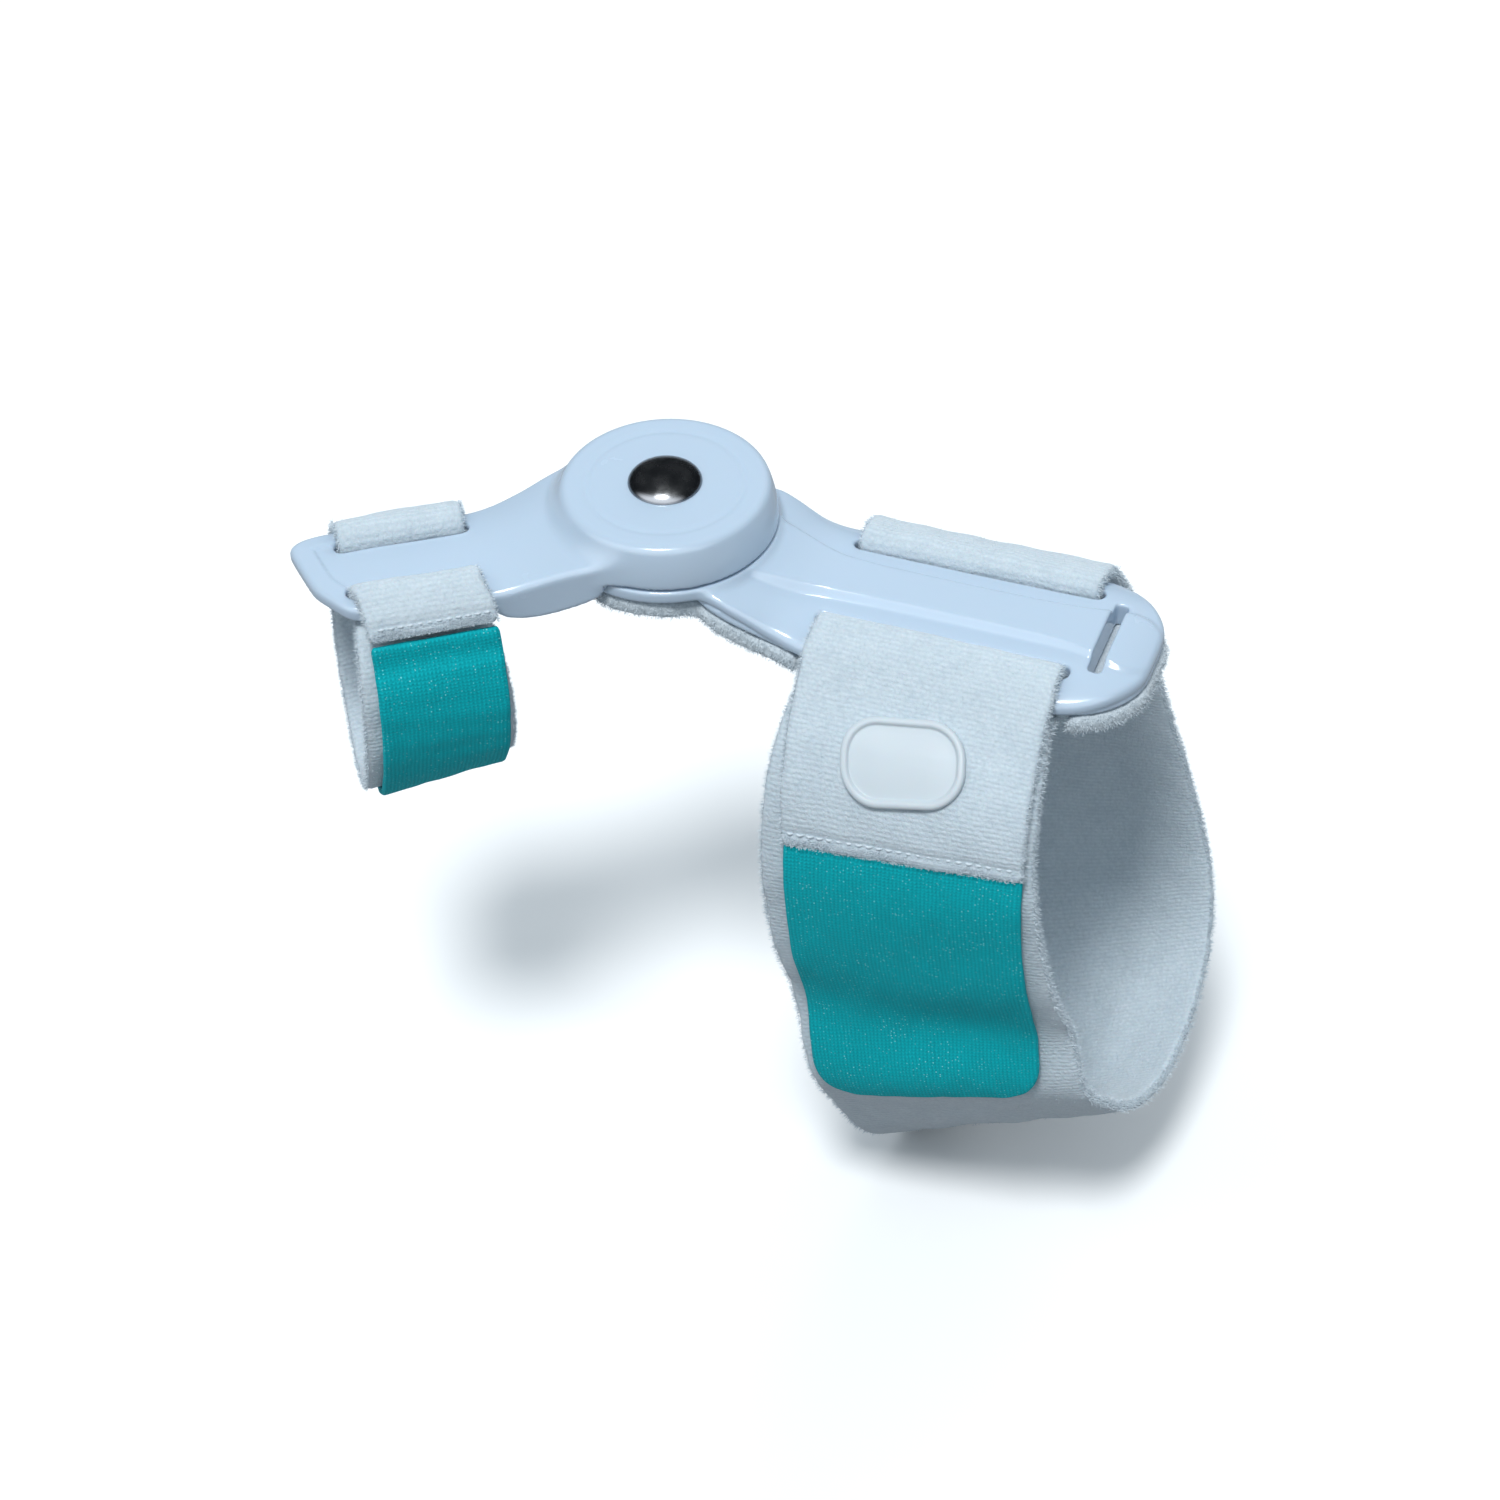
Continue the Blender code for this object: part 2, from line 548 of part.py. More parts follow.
def strap_path(x, half_width, wrap, half, edge, loop, sizes, tail_over, shift):
    """Rows of a strap, +Y to its far side: sewn end, far rim, loop, near rim and the start of its tail."""
    deep, near, far, drift, rise, flare = sizes
    under = wrap[1][1]
    rows = [(x, y, z, 0.0, half_width, 2) for y, z in wrap]
    rows += [(x, half + 1.2, edge + 0.45, 0.0, half_width + 0.3, 2),
             (x, half + 2.4, edge - 2.1, 0.0, half_width + 0.6, 2)]
    for along, side, depth, lean, spread, steps in loop:
        reach = far if side > 0 else near
        rows.append((x + along * drift, side * reach, under - depth * deep, lean * rise,
                     half_width + spread * flare, steps))
    rows += [(x, -y, z, 0.0, half_width, 2) for y, z in wrap[:-1]]
    count = len(tail_over)
    for k, (out, up) in enumerate(tail_over):
        rows.append((x + shift * (k + 1) / count, -half - out, edge + up, 0.0, half_width, 2))
    return rows


def smooth_rows(rows):
    """Rows with points added between them on a Catmull-Rom curve."""
    made = []
    for k, row in enumerate(rows[:-1]):
        before = rows[max(k - 1, 0)]
        after = rows[k + 1]
        beyond = rows[min(k + 2, len(rows) - 1)]
        steps = row[5]
        for step in range(steps):
            t = step / steps
            made.append(tuple(
                0.5 * (2 * b + (c - a) * t + (2 * a - 5 * b + 4 * c - d) * t * t
                       + (3 * b - a - 3 * c + d) * t ** 3)
                for a, b, c, d in zip(before[:5], row[:5], after[:5], beyond[:5])
            ))
    made.append(tuple(rows[-1][:5]))
    return made


def spot_on(rows, along, across, height):
    """A point on a strap, in millimetres along it, across it and out of it, and the rulings' rise there."""
    for first, second in zip(rows, rows[1:]):
        length = (Vector(second[:3]) - Vector(first[:3])).length
        if along <= length or second is rows[-1]:
            break
        along -= length
    start = Vector(first[:3])
    step = Vector(second[:3]) - start
    share = along / length
    rise = first[3] + (second[3] - first[3]) * share
    ruling = Vector((1.0, 0.0, rise)).normalized()
    outward = step.cross(ruling).normalized()
    return start + step * share + ruling * across + outward * height, rise


def laid_rows(under, start, length, shares, half_width, step, lift, corner=0.0):
    """Rows of a layer laid on another. Its end can be rounded."""
    first = start + shares[0][0] * length
    end = start + length
    count = max(2, round((end - first) / step))
    marks = [first + (end - first) * k / count for k in range(count + 1)]
    if corner:
        marks = [mark for mark in marks if mark < end - corner - 0.5 * step]
        marks += [end - corner * (1 - math.sin(math.radians(15 * k))) for k in range(7)]
    rows = []
    for mark in marks:
        share = (mark - start) / length
        for before, after in zip(shares, shares[1:]):
            if share <= after[0] or after is shares[-1]:
                break
        t = (share - before[0]) / (after[0] - before[0])
        across = (before[1] + (after[1] - before[1]) * t) * half_width
        half = (before[2] + (after[2] - before[2]) * t) * half_width
        spot, rise = spot_on(under, mark, across, lift)
        inset = 0.0
        if corner and mark > end - corner:
            reach = (mark - (end - corner)) / corner
            inset = corner * (1 - math.sqrt(max(0.0, 1 - reach * reach)))
        rows.append((*spot, rise, half - inset))
    return rows


def ribbon(name, rows, thick, to_metres):
    """Rulings across a path, made solid by a Solidify modifier."""
    columns = 3
    points = []
    for x, y, z, rise, half in rows:
        for k in range(columns + 1):
            across = half * (2 * k / columns - 1) / math.hypot(1.0, rise)
            points.append((x + across, y, z + rise * across))
    faces = []
    for row in range(len(rows) - 1):
        for k in range(columns):
            first = row * (columns + 1) + k
            faces.append((first, first + 1, first + columns + 2, first + columns + 1))
    mesh = bpy.data.meshes.new(name)
    mesh.from_pydata(to_metres(points), [], faces)
    made = bpy.data.objects.new(name, mesh)
    shell = made.modifiers.new("thickness", "SOLIDIFY")
    shell.thickness = thick * MM
    shell.offset = 0.0
    shell.use_even_offset = True
    return made


def near_to_plus_y(points):
    """The short arm's frame is turned, so its near side is +Y."""
    return from_hinge([(x, -y, z) for x, y, z in points])


def foot_strap_rows():
    """The wide strap's whole course, its part under the tail, and the tail."""
    mid = FOOT_SLOT_INNER + FOOT_SLOT_WIDE / 2
    half_width = (FOOT_SLOT_END - FOOT_SLOT_START) / 2 - STRAP_SIDE_CLEARANCE

    def rim_top(y):
        return arched(y, SPINE_HALF, FOOT_ARM_HALF, FOOT_LEDGE, FOOT_RIM_FALL, FOOT_ARCH)

    wrap = rim_wrap(mid, FOOT_ARM_HALF, FOOT_SLOT_WIDE, rim_top, FOOT_RIM_EDGE, FOOT_RIM_LOW)
    sizes = (FOOT_LOOP_DEEP, FOOT_LOOP_NEAR, FOOT_LOOP_FAR, FOOT_LOOP_DRIFT, FOOT_LOOP_RISE, FOOT_LOOP_FLARE)
    path = strap_path(SEAT_X, half_width, wrap, FOOT_ARM_HALF, FOOT_RIM_EDGE, FOOT_LOOP_SHARES, sizes,
                      FOOT_TAIL_OVER, 0.1)
    last = len(wrap) + 2 + len(FOOT_LOOP_SHARES)
    under = smooth_rows(path[last - FOOT_UNDER_COUNT:last])[::-1]
    tail = laid_rows(under, 0.0, FOOT_TAIL_LONG, FOOT_TAIL_SHARES, half_width, TAIL_STEP, STRAP_THICK + GAP)
    return path, under, tail, half_width


def toe_strap_rows():
    """The narrow strap's course and its part under the tab."""
    mid = TOE_SLOT_INNER + TOE_SLOT_WIDE / 2
    half_width = (TOE_SLOT_END - TOE_SLOT_START) / 2 - TOE_STRAP_SIDE_CLEARANCE

    def rim_top(y):
        return arched(y, 0.0, TOE_ARM_HALF, TOE_TOP + TOE_STRAP_CLEAR, TOE_RIM_FALL, TOE_ARCH)

    wrap = rim_wrap(mid, TOE_ARM_HALF, TOE_SLOT_WIDE, rim_top, TOE_RIM_EDGE, TOE_RIM_LOW)
    sizes = (TOE_LOOP_DEEP, TOE_LOOP_HALF, TOE_LOOP_HALF, TOE_LOOP_DRIFT, TOE_LOOP_RISE, TOE_LOOP_FLARE)
    middle = (TOE_SLOT_START + TOE_SLOT_END) / 2
    path = strap_path(middle, half_width, wrap, TOE_ARM_HALF, TOE_RIM_EDGE, TOE_LOOP_SHARES, sizes,
                      TOE_TAIL_OVER, TOE_TAIL_SHIFT)
    last = len(wrap) + 2 + len(TOE_LOOP_SHARES)
    under = smooth_rows(path[last - TOE_UNDER_COUNT:last])[::-1]
    return path, under, half_width


def build_straps(parts, turn, webbing, hooks):
    tab_lift = (STRAP_THICK + TAB_THICK) / 2 + LAYER_GAP
    path, under, tail, half_width = foot_strap_rows()
    placed(ribbon("foot_strap", smooth_rows(path) + tail, STRAP_THICK, in_hub_frame), parts, webbing)
    tab = laid_rows(under, FOOT_TAIL_LONG + GAP, FOOT_TAB_LONG, FOOT_TAB_SHARES, half_width, FOOT_TAB_STEP,
                    tab_lift, FOOT_TAB_CORNER)
    placed(ribbon("foot_strap_tab", tab, TAB_THICK, in_hub_frame), parts, hooks)

    path, under, half_width = toe_strap_rows()
    placed(ribbon("toe_strap", smooth_rows(path), STRAP_THICK, near_to_plus_y), parts, webbing, turn)
    tab = laid_rows(under, TOE_TAB_START, TOE_TAB_LONG, TOE_TAB_SHARES, half_width, TOE_TAB_STEP, tab_lift,
                    TOE_TAB_CORNER)
    tail = path[-1]
    butt = (tail[0], tail[1] - 0.45 * TOE_TAB_BUTT, tail[2] - 0.89 * TOE_TAB_BUTT, 0.0, half_width)
    tab.insert(0, butt)
    placed(ribbon("toe_strap_tab", tab, TAB_THICK, near_to_plus_y), parts, hooks, turn)


def badge_outline(inset):
    """Rounded outline of the badge, set in from its edge."""
    turn = math.radians(BADGE_TURN)
    corner = BADGE_HIGH / 2 - 0.6
    count = 40
    outline = []
    for k in range(count):
        angle = 2 * math.pi * (k + 0.5) / count
        x = math.copysign(BADGE_LONG / 2 - corner, math.cos(angle)) + (corner - inset) * math.cos(angle)
        y = math.copysign(BADGE_HIGH / 2 - corner, math.sin(angle)) + (corner - inset) * math.sin(angle)
        outline.append((x * math.cos(turn) - y * math.sin(turn), x * math.sin(turn) + y * math.cos(turn)))
    return outline


def build_badge(parts, vinyl):
    """Bends with the strap under it: flat back, upright edge, raised rim and a lower field."""
    path, under, tail, half_width = foot_strap_rows()
    top = smooth_rows(path[-2:]) + tail
    low = STRAP_THICK / 2 + LAYER_GAP
    high = low + BADGE_THICK
    field = BADGE_HIGH * 0.3
    e = BADGE_EDGE
    levels = ((field, low), (0.0, low), (0.0, high - e), (e, high), (BADGE_RIM - 0.8 * e, high),
              (BADGE_RIM, high - BADGE_FLOOR), (field, high - BADGE_FLOOR))
    rings = []
    for inset, height in levels:
        outline = badge_outline(inset)
        rings.append([spot_on(top, BADGE_ALONG - y, BADGE_ACROSS + x, height)[0] for x, y in outline])
    placed(lofted("badge", rings, in_hub_frame), parts, vinyl)


clear_scene()
parts = new_collection("bunion_corrector")
helpers = new_collection("helpers", hidden=True)
hinge = new_empty("hinge_axis", parts)
toe_turn = new_empty("toe_arm_axis", parts, TOE_ARM_TURN)
plastic = material("arm_plastic", (0.70, 0.78, 0.86), 0.18, coat=0.6)
webbing = material("strap_fabric", (0.72, 0.77, 0.78), 0.9)
build_foot_arm(parts, helpers, hinge, plastic)
build_pad(parts, helpers, hinge, material("pad_fleece", (0.80, 0.82, 0.82), 0.95))
build_rivet(parts, hinge, material("rivet_steel", (0.62, 0.65, 0.68), 0.12, metallic=1.0))
build_toe_arm(parts, helpers, toe_turn, plastic)
build_straps(parts, toe_turn, webbing, material("tab_fabric", (0.0, 0.36, 0.38), 0.75))
build_badge(parts, material("badge_vinyl", (0.82, 0.83, 0.80), 0.4))
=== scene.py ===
"""A hinged two-arm splint, dressed: moulded arms, fleece pad, brushed straps, hook tabs, rivet and badge."""

import math

import bpy
import numpy as np
from mathutils import Matrix, Vector


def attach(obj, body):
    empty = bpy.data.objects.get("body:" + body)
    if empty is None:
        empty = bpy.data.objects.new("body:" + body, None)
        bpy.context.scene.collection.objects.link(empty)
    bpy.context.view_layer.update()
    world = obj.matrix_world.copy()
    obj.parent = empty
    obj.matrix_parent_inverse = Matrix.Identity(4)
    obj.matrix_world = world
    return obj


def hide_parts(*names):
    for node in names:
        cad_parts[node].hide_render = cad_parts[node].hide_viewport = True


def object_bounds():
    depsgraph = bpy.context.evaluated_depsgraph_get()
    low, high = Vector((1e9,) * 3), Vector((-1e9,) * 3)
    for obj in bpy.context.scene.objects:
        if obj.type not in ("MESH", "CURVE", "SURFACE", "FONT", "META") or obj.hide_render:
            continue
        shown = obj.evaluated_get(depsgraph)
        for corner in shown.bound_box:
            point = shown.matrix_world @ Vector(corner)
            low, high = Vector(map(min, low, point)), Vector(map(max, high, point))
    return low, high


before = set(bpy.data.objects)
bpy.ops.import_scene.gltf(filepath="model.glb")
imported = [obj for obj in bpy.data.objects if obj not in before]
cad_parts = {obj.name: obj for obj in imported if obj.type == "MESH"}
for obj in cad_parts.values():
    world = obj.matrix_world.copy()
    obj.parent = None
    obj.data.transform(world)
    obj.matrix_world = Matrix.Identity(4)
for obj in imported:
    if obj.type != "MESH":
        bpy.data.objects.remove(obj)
cad_low, cad_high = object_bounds()

# ---- Setting
# A pale floor just under the lowest strap, soft light from above and in front, and the camera of the photograph.
# The floor is a sheet of matt board, and nothing here belongs to the object.
MM = 0.001
FLOOR_DROP = 0.0006
FLOOR_HALF = 6.0
BOARD = (0.93, 0.93, 0.93, 1.0)
BOARD_BOUNCE = (0.30, 0.30, 0.31, 1.0)

floor_mesh = bpy.data.meshes.new("floor")
floor_z = cad_low.z - FLOOR_DROP
floor_mesh.from_pydata(
    [(-FLOOR_HALF, -FLOOR_HALF, floor_z), (FLOOR_HALF, -FLOOR_HALF, floor_z),
     (FLOOR_HALF, FLOOR_HALF, floor_z), (-FLOOR_HALF, FLOOR_HALF, floor_z)], [], [(0, 1, 2, 3)])
floor = bpy.data.objects.new("floor", floor_mesh)
bpy.context.scene.collection.objects.link(floor)
board = bpy.data.materials.new("matt_board")
board.use_nodes = True
shader = board.node_tree.nodes["Principled BSDF"]
shader.inputs["Roughness"].default_value = 0.95
shader.inputs["Specular IOR Level"].default_value = 0.1
seen = board.node_tree.nodes.new("ShaderNodeLightPath")
paint = board.node_tree.nodes.new("ShaderNodeMix")
paint.data_type = "RGBA"
paint.inputs[6].default_value = BOARD_BOUNCE
paint.inputs[7].default_value = BOARD
board.node_tree.links.new(seen.outputs["Is Camera Ray"], paint.inputs[0])
board.node_tree.links.new(paint.outputs[2], shader.inputs["Base Color"])
floor_mesh.materials.append(board)

camera_data = bpy.data.cameras.new("camera")
camera_data.lens = 96.72
camera_data.sensor_width = 36.0
camera_data.clip_start = 0.01
camera = bpy.data.objects.new("camera", camera_data)
bpy.context.scene.collection.objects.link(camera)
CAMERA_TURN, CAMERA_RISE, CAMERA_ROLL = (math.radians(a) for a in (22.0, 43.1, -2.5))
CAMERA_DISTANCE = 585.0
HUB_IN_VIEW = (-12.34, 38.98)  # the hub's top, right of the middle of the view and above it, at the hub's depth
HINGE = (-45.1, 0.0, 18.9)
back = Vector((math.sin(CAMERA_TURN) * math.cos(CAMERA_RISE), -math.cos(CAMERA_TURN) * math.cos(CAMERA_RISE),
               math.sin(CAMERA_RISE)))
level = Vector((math.cos(CAMERA_TURN), math.sin(CAMERA_TURN), 0.0))
steep = back.cross(level)
right = math.cos(CAMERA_ROLL) * level + math.sin(CAMERA_ROLL) * steep
over = math.cos(CAMERA_ROLL) * steep - math.sin(CAMERA_ROLL) * level
spot = Vector(HINGE) - HUB_IN_VIEW[0] * right - HUB_IN_VIEW[1] * over + CAMERA_DISTANCE * back
camera.matrix_world = Matrix((
    (right.x, over.x, back.x, spot.x * MM), (right.y, over.y, back.y, spot.y * MM),
    (right.z, over.z, back.z, spot.z * MM), (0.0, 0.0, 0.0, 1.0)))
bpy.context.scene.camera = camera
bpy.context.scene.view_settings.view_transform = "Standard"


def light_from(name, turn, rise, strength, angle, colour):
    """A far, soft light, given by its direction as the camera's is."""
    data = bpy.data.lights.new(name, "SUN")
    data.energy = strength
    data.angle = math.radians(angle)
    data.color = colour
    lamp = bpy.data.objects.new(name, data)
    bpy.context.scene.collection.objects.link(lamp)
    a, e = math.radians(turn), math.radians(rise)
    towards = Vector((math.sin(a) * math.cos(e), -math.cos(a) * math.cos(e), math.sin(e)))
    lamp.rotation_mode = "QUATERNION"
    lamp.rotation_quaternion = towards.to_track_quat("Z", "Y")
    return lamp


light_from("key", 4.0, 68.0, 2.15, 14.0, (0.97, 0.99, 1.0))
light_from("side", -60.0, 50.0, 0.25, 30.0, (0.86, 0.93, 1.0)).visible_glossy = False
light_from("back", 175.0, 18.0, 0.85, 40.0, (0.93, 0.97, 1.0)).visible_glossy = False


def studio_sky():
    """Soft light from above, a dark room with one wide window for shiny things to mirror, and a pale view."""
    world = bpy.data.worlds.new("studio")
    world.use_nodes = True
    tree = world.node_tree
    soft = tree.nodes["Background"]
    mirrored = tree.nodes.new("ShaderNodeBackground")
    viewed = tree.nodes.new("ShaderNodeBackground")
    viewed.inputs["Color"].default_value = (0.95, 0.96, 0.97, 1.0)
    where = tree.nodes.new("ShaderNodeTexCoord")

    def towards(way, narrow, low, high, dark, bright, shader):
        squeezed = tree.nodes.new("ShaderNodeVectorMath")
        squeezed.operation = "MULTIPLY"
        squeezed.inputs[1].default_value = (narrow, 1.0, 1.0)
        tree.links.new(where.outputs["Generated"], squeezed.inputs[0])
        unit = tree.nodes.new("ShaderNodeVectorMath")
        unit.operation = "NORMALIZE"
        tree.links.new(squeezed.outputs["Vector"], unit.inputs[0])
        facing = tree.nodes.new("ShaderNodeVectorMath")
        facing.operation = "DOT_PRODUCT"
        facing.inputs[1].default_value = way
        tree.links.new(unit.outputs["Vector"], facing.inputs[0])
        share = tree.nodes.new("ShaderNodeMapRange")
        share.interpolation_type = "SMOOTHSTEP"
        share.inputs["From Min"].default_value = low
        share.inputs["From Max"].default_value = high
        tree.links.new(facing.outputs["Value"], share.inputs["Value"])
        colour = tree.nodes.new("ShaderNodeMix")
        colour.data_type = "RGBA"
        colour.inputs[6].default_value = dark
        colour.inputs[7].default_value = bright
        tree.links.new(share.outputs["Result"], colour.inputs[0])
        tree.links.new(colour.outputs[2], shader.inputs["Color"])

    towards((0.0, 0.0, 1.0), 1.0, -0.3, 0.9, (0.10, 0.12, 0.13, 1.0), (0.50, 0.57, 0.62, 1.0), soft)
    towards((0.05, -0.84, 0.54), 0.45, 0.66, 0.99, (0.014, 0.016, 0.019, 1.0), (2.3, 2.4, 2.5, 1.0), mirrored)
    ray = tree.nodes.new("ShaderNodeLightPath")
    made = soft
    for label, other in (("Is Glossy Ray", mirrored), ("Is Camera Ray", viewed)):
        choice = tree.nodes.new("ShaderNodeMixShader")
        tree.links.new(ray.outputs[label], choice.inputs["Fac"])
        tree.links.new(made.outputs[0], choice.inputs[1])
        tree.links.new(other.outputs[0], choice.inputs[2])
        made = choice
    tree.links.new(made.outputs[0], tree.nodes["World Output"].inputs["Surface"])
    return world


bpy.context.scene.world = studio_sky()

# ---- Short arm
# One moulding of white glossy plastic: a round hub with a flat top, a neck that melts into it, and a slotted bar
# with a slanted tip. It is injection moulded, so every edge has a small radius and the hub grows out of the bar.
TOE_TURN = math.radians(213.6)
HUB_TOP_R, HUB_FOOT_R, HUB_HIGH, HUB_BAND_HIGH = 15.1, 16.4, 6.9, 3.15
HUB_EDGE, HUB_FILLET = 0.9, 2.6
GROOVE_R, GROOVE_HALF, GROOVE_DEEP = 11.6, 0.34, 0.2
HOLE_R = 2.7
RELIEF_R = 17.1
GRAIN_STEP = 0.32
# Along, near half width, far half width, slant of the tip, top, fall to the edge, underside.
TOE_ARM = np.array((
    (-4.0, 9.6, 9.6, 0.0, -2.3, 0.3, -6.6), (3.0, 9.6, 9.6, 0.0, -2.3, 0.3, -6.6),
    (9.0, 11.6, 11.6, 0.0, -2.3, 0.6, -7.6), (12.5, 12.1, 12.1, 0.0, -2.5, 1.2, -9.2),
    (14.5, 11.8, 11.8, 0.0, -2.75, 1.35, -10.3), (16.5, 11.3, 11.3, 0.0, -3.15, 1.45, -11.2),
    (19.0, 10.7, 10.7, 0.0, -3.9, 1.5, -12.1), (21.5, 10.3, 10.3, 0.0, -4.6, 1.55, -12.6),
    (24.0, 10.0, 10.0, 0.0, -5.2, 1.65, -12.6), (26.0, 9.9, 9.9, 0.0, -5.55, 1.7, -12.1),
    (27.3, 9.8, 9.8, 0.0, -5.75, 1.6, -11.2), (28.2, 9.7, 9.7, 0.0, -5.85, 1.5, -10.0),
    (28.9, 9.7, 9.7, 0.0, -5.85, 1.5, -9.2), (32.0, 9.6, 9.6, 0.0, -5.9, 1.3, -9.1),
    (39.0, 9.5, 9.5, 0.0, -5.8, 1.1, -9.0), (45.0, 9.4, 9.4, 0.02, -5.6, 0.9, -8.7),
    (47.6, 9.2, 9.3, 0.05, -5.5, 0.85, -8.5), (49.4, 8.6, 9.1, 0.11, -5.45, 0.85, -8.4),
    (50.8, 7.5, 8.8, 0.17, -5.45, 0.8, -8.3), (52.0, 5.8, 8.3, 0.22, -5.5, 0.75, -8.3),
    (52.9, 3.8, 7.5, 0.22, -5.6, 0.65, -8.3), (53.4, 1.8, 6.4, 0.22, -5.75, 0.6, -8.2),
))
TOE_SLOT = (28.6, 48.4, 5.3, 2.6)
LIP_WIDE, LIP_HIGH = 3.2, 0.5


def eased(table, column, along, reach):
    """A column of a table read at each place along it, with its corners rounded over a reach."""
    marks = np.arange(table[0, 0] - 3 * reach, table[-1, 0] + 3 * reach, 0.1)
    values = np.interp(marks, table[:, 0], table[:, column])
    half = max(1, int(reach / 0.1))
    kernel = np.hanning(2 * half + 1)
    padded = np.pad(values, half, mode="edge")
    return np.interp(along, marks, np.convolve(padded, kernel / kernel.sum(), mode="valid"))


def outline_distance(x, y, points):
    """Distance from a closed outline over a flat grid, negative inside it."""
    best = np.full(x.shape, 1e9)
    inside = np.zeros(x.shape, bool)
    for (ax, ay), (bx, by) in zip(points, np.roll(points, -1, axis=0)):
        dx, dy = bx - ax, by - ay
        t = np.clip(((x - ax) * dx + (y - ay) * dy) / (dx * dx + dy * dy + 1e-12), 0, 1)
        best = np.minimum(best, np.hypot(x - ax - t * dx, y - ay - t * dy))
        crosses = (ay > y) != (by > y)
        inside ^= crosses & (x < ax + (y - ay) * dx / np.where(dy == 0, 1e-12, dy))
    return np.where(inside, -best, best)


def soft_outline(points, count, reach):
    """A closed outline on a Catmull-Rom curve, with its corners rounded over a reach."""
    points = np.asarray(points, float)
    before, after, beyond = (np.roll(points, shift, axis=0) for shift in (1, -1, -2))
    made = []
    for t in np.arange(count) / count:
        made.append(0.5 * (2 * points + (after - before) * t + (2 * before - 5 * points + 4 * after - beyond) * t * t
                           + (3 * points - before - 3 * after + beyond) * t ** 3))
    made = np.stack(made, axis=1).reshape(-1, 2)
    made = np.concatenate([made, made[:1]])
    run = np.concatenate([[0.0], np.cumsum(np.hypot(*np.diff(made, axis=0).T))])
    marks = np.arange(0.0, run[-1], 0.4)
    half = round(reach / 0.4)
    kernel = np.hanning(2 * half + 3)[1:-1]
    even = [np.pad(np.interp(marks, run, made[:, k]), half, mode="wrap") for k in (0, 1)]
    return np.stack([np.convolve(line, kernel / kernel.sum(), mode="valid") for line in even], axis=1)


def both(a, b, radius):
    """Where two fields both hold, with the edge between them rounded."""
    return np.minimum(np.maximum(a, b), -radius) + np.hypot(np.maximum(a + radius, 0), np.maximum(b + radius, 0))


def either(a, b, radius):
    """Where one field or the other holds, with a fillet between them."""
    return np.maximum(np.minimum(a, b), radius) - np.hypot(np.maximum(radius - a, 0), np.maximum(radius - b, 0))


def slot_distance(x, y, centre, half_x, half_y, radius):
    """Distance from a slot with round ends or corners, negative inside it."""
    dx = np.abs(x - centre[0]) - (half_x - radius)
    dy = np.abs(y - centre[1]) - (half_y - radius)
    return np.hypot(np.maximum(dx, 0), np.maximum(dy, 0)) + np.minimum(np.maximum(dx, dy), 0) - radius


def grid_over(low, high, step):
    """Places along each axis, and the grid of them."""
    axes = [np.arange(a, b + step, step) for a, b in zip(low, high)]
    return axes, np.meshgrid(*axes, indexing="ij")


def level_of(height, x_step):
    """A height field's slope factor, so that a height difference reads as a distance."""
    slope_x, slope_y = np.gradient(height, x_step)
    return np.sqrt(1 + slope_x ** 2 + slope_y ** 2)


def read_grid(values, place):
    """A grid's value at places between its points."""
    low = np.clip(np.floor(place).astype(int), 0, np.array(values.shape) - 2)
    t = place - low
    total = 0
    for corner in range(8):
        step = np.array((corner & 1, corner >> 1 & 1, corner >> 2 & 1))
        weight = np.prod(np.where(step, t, 1 - t), axis=1)
        total = total + weight * values[tuple((low + step).T)]
    return total


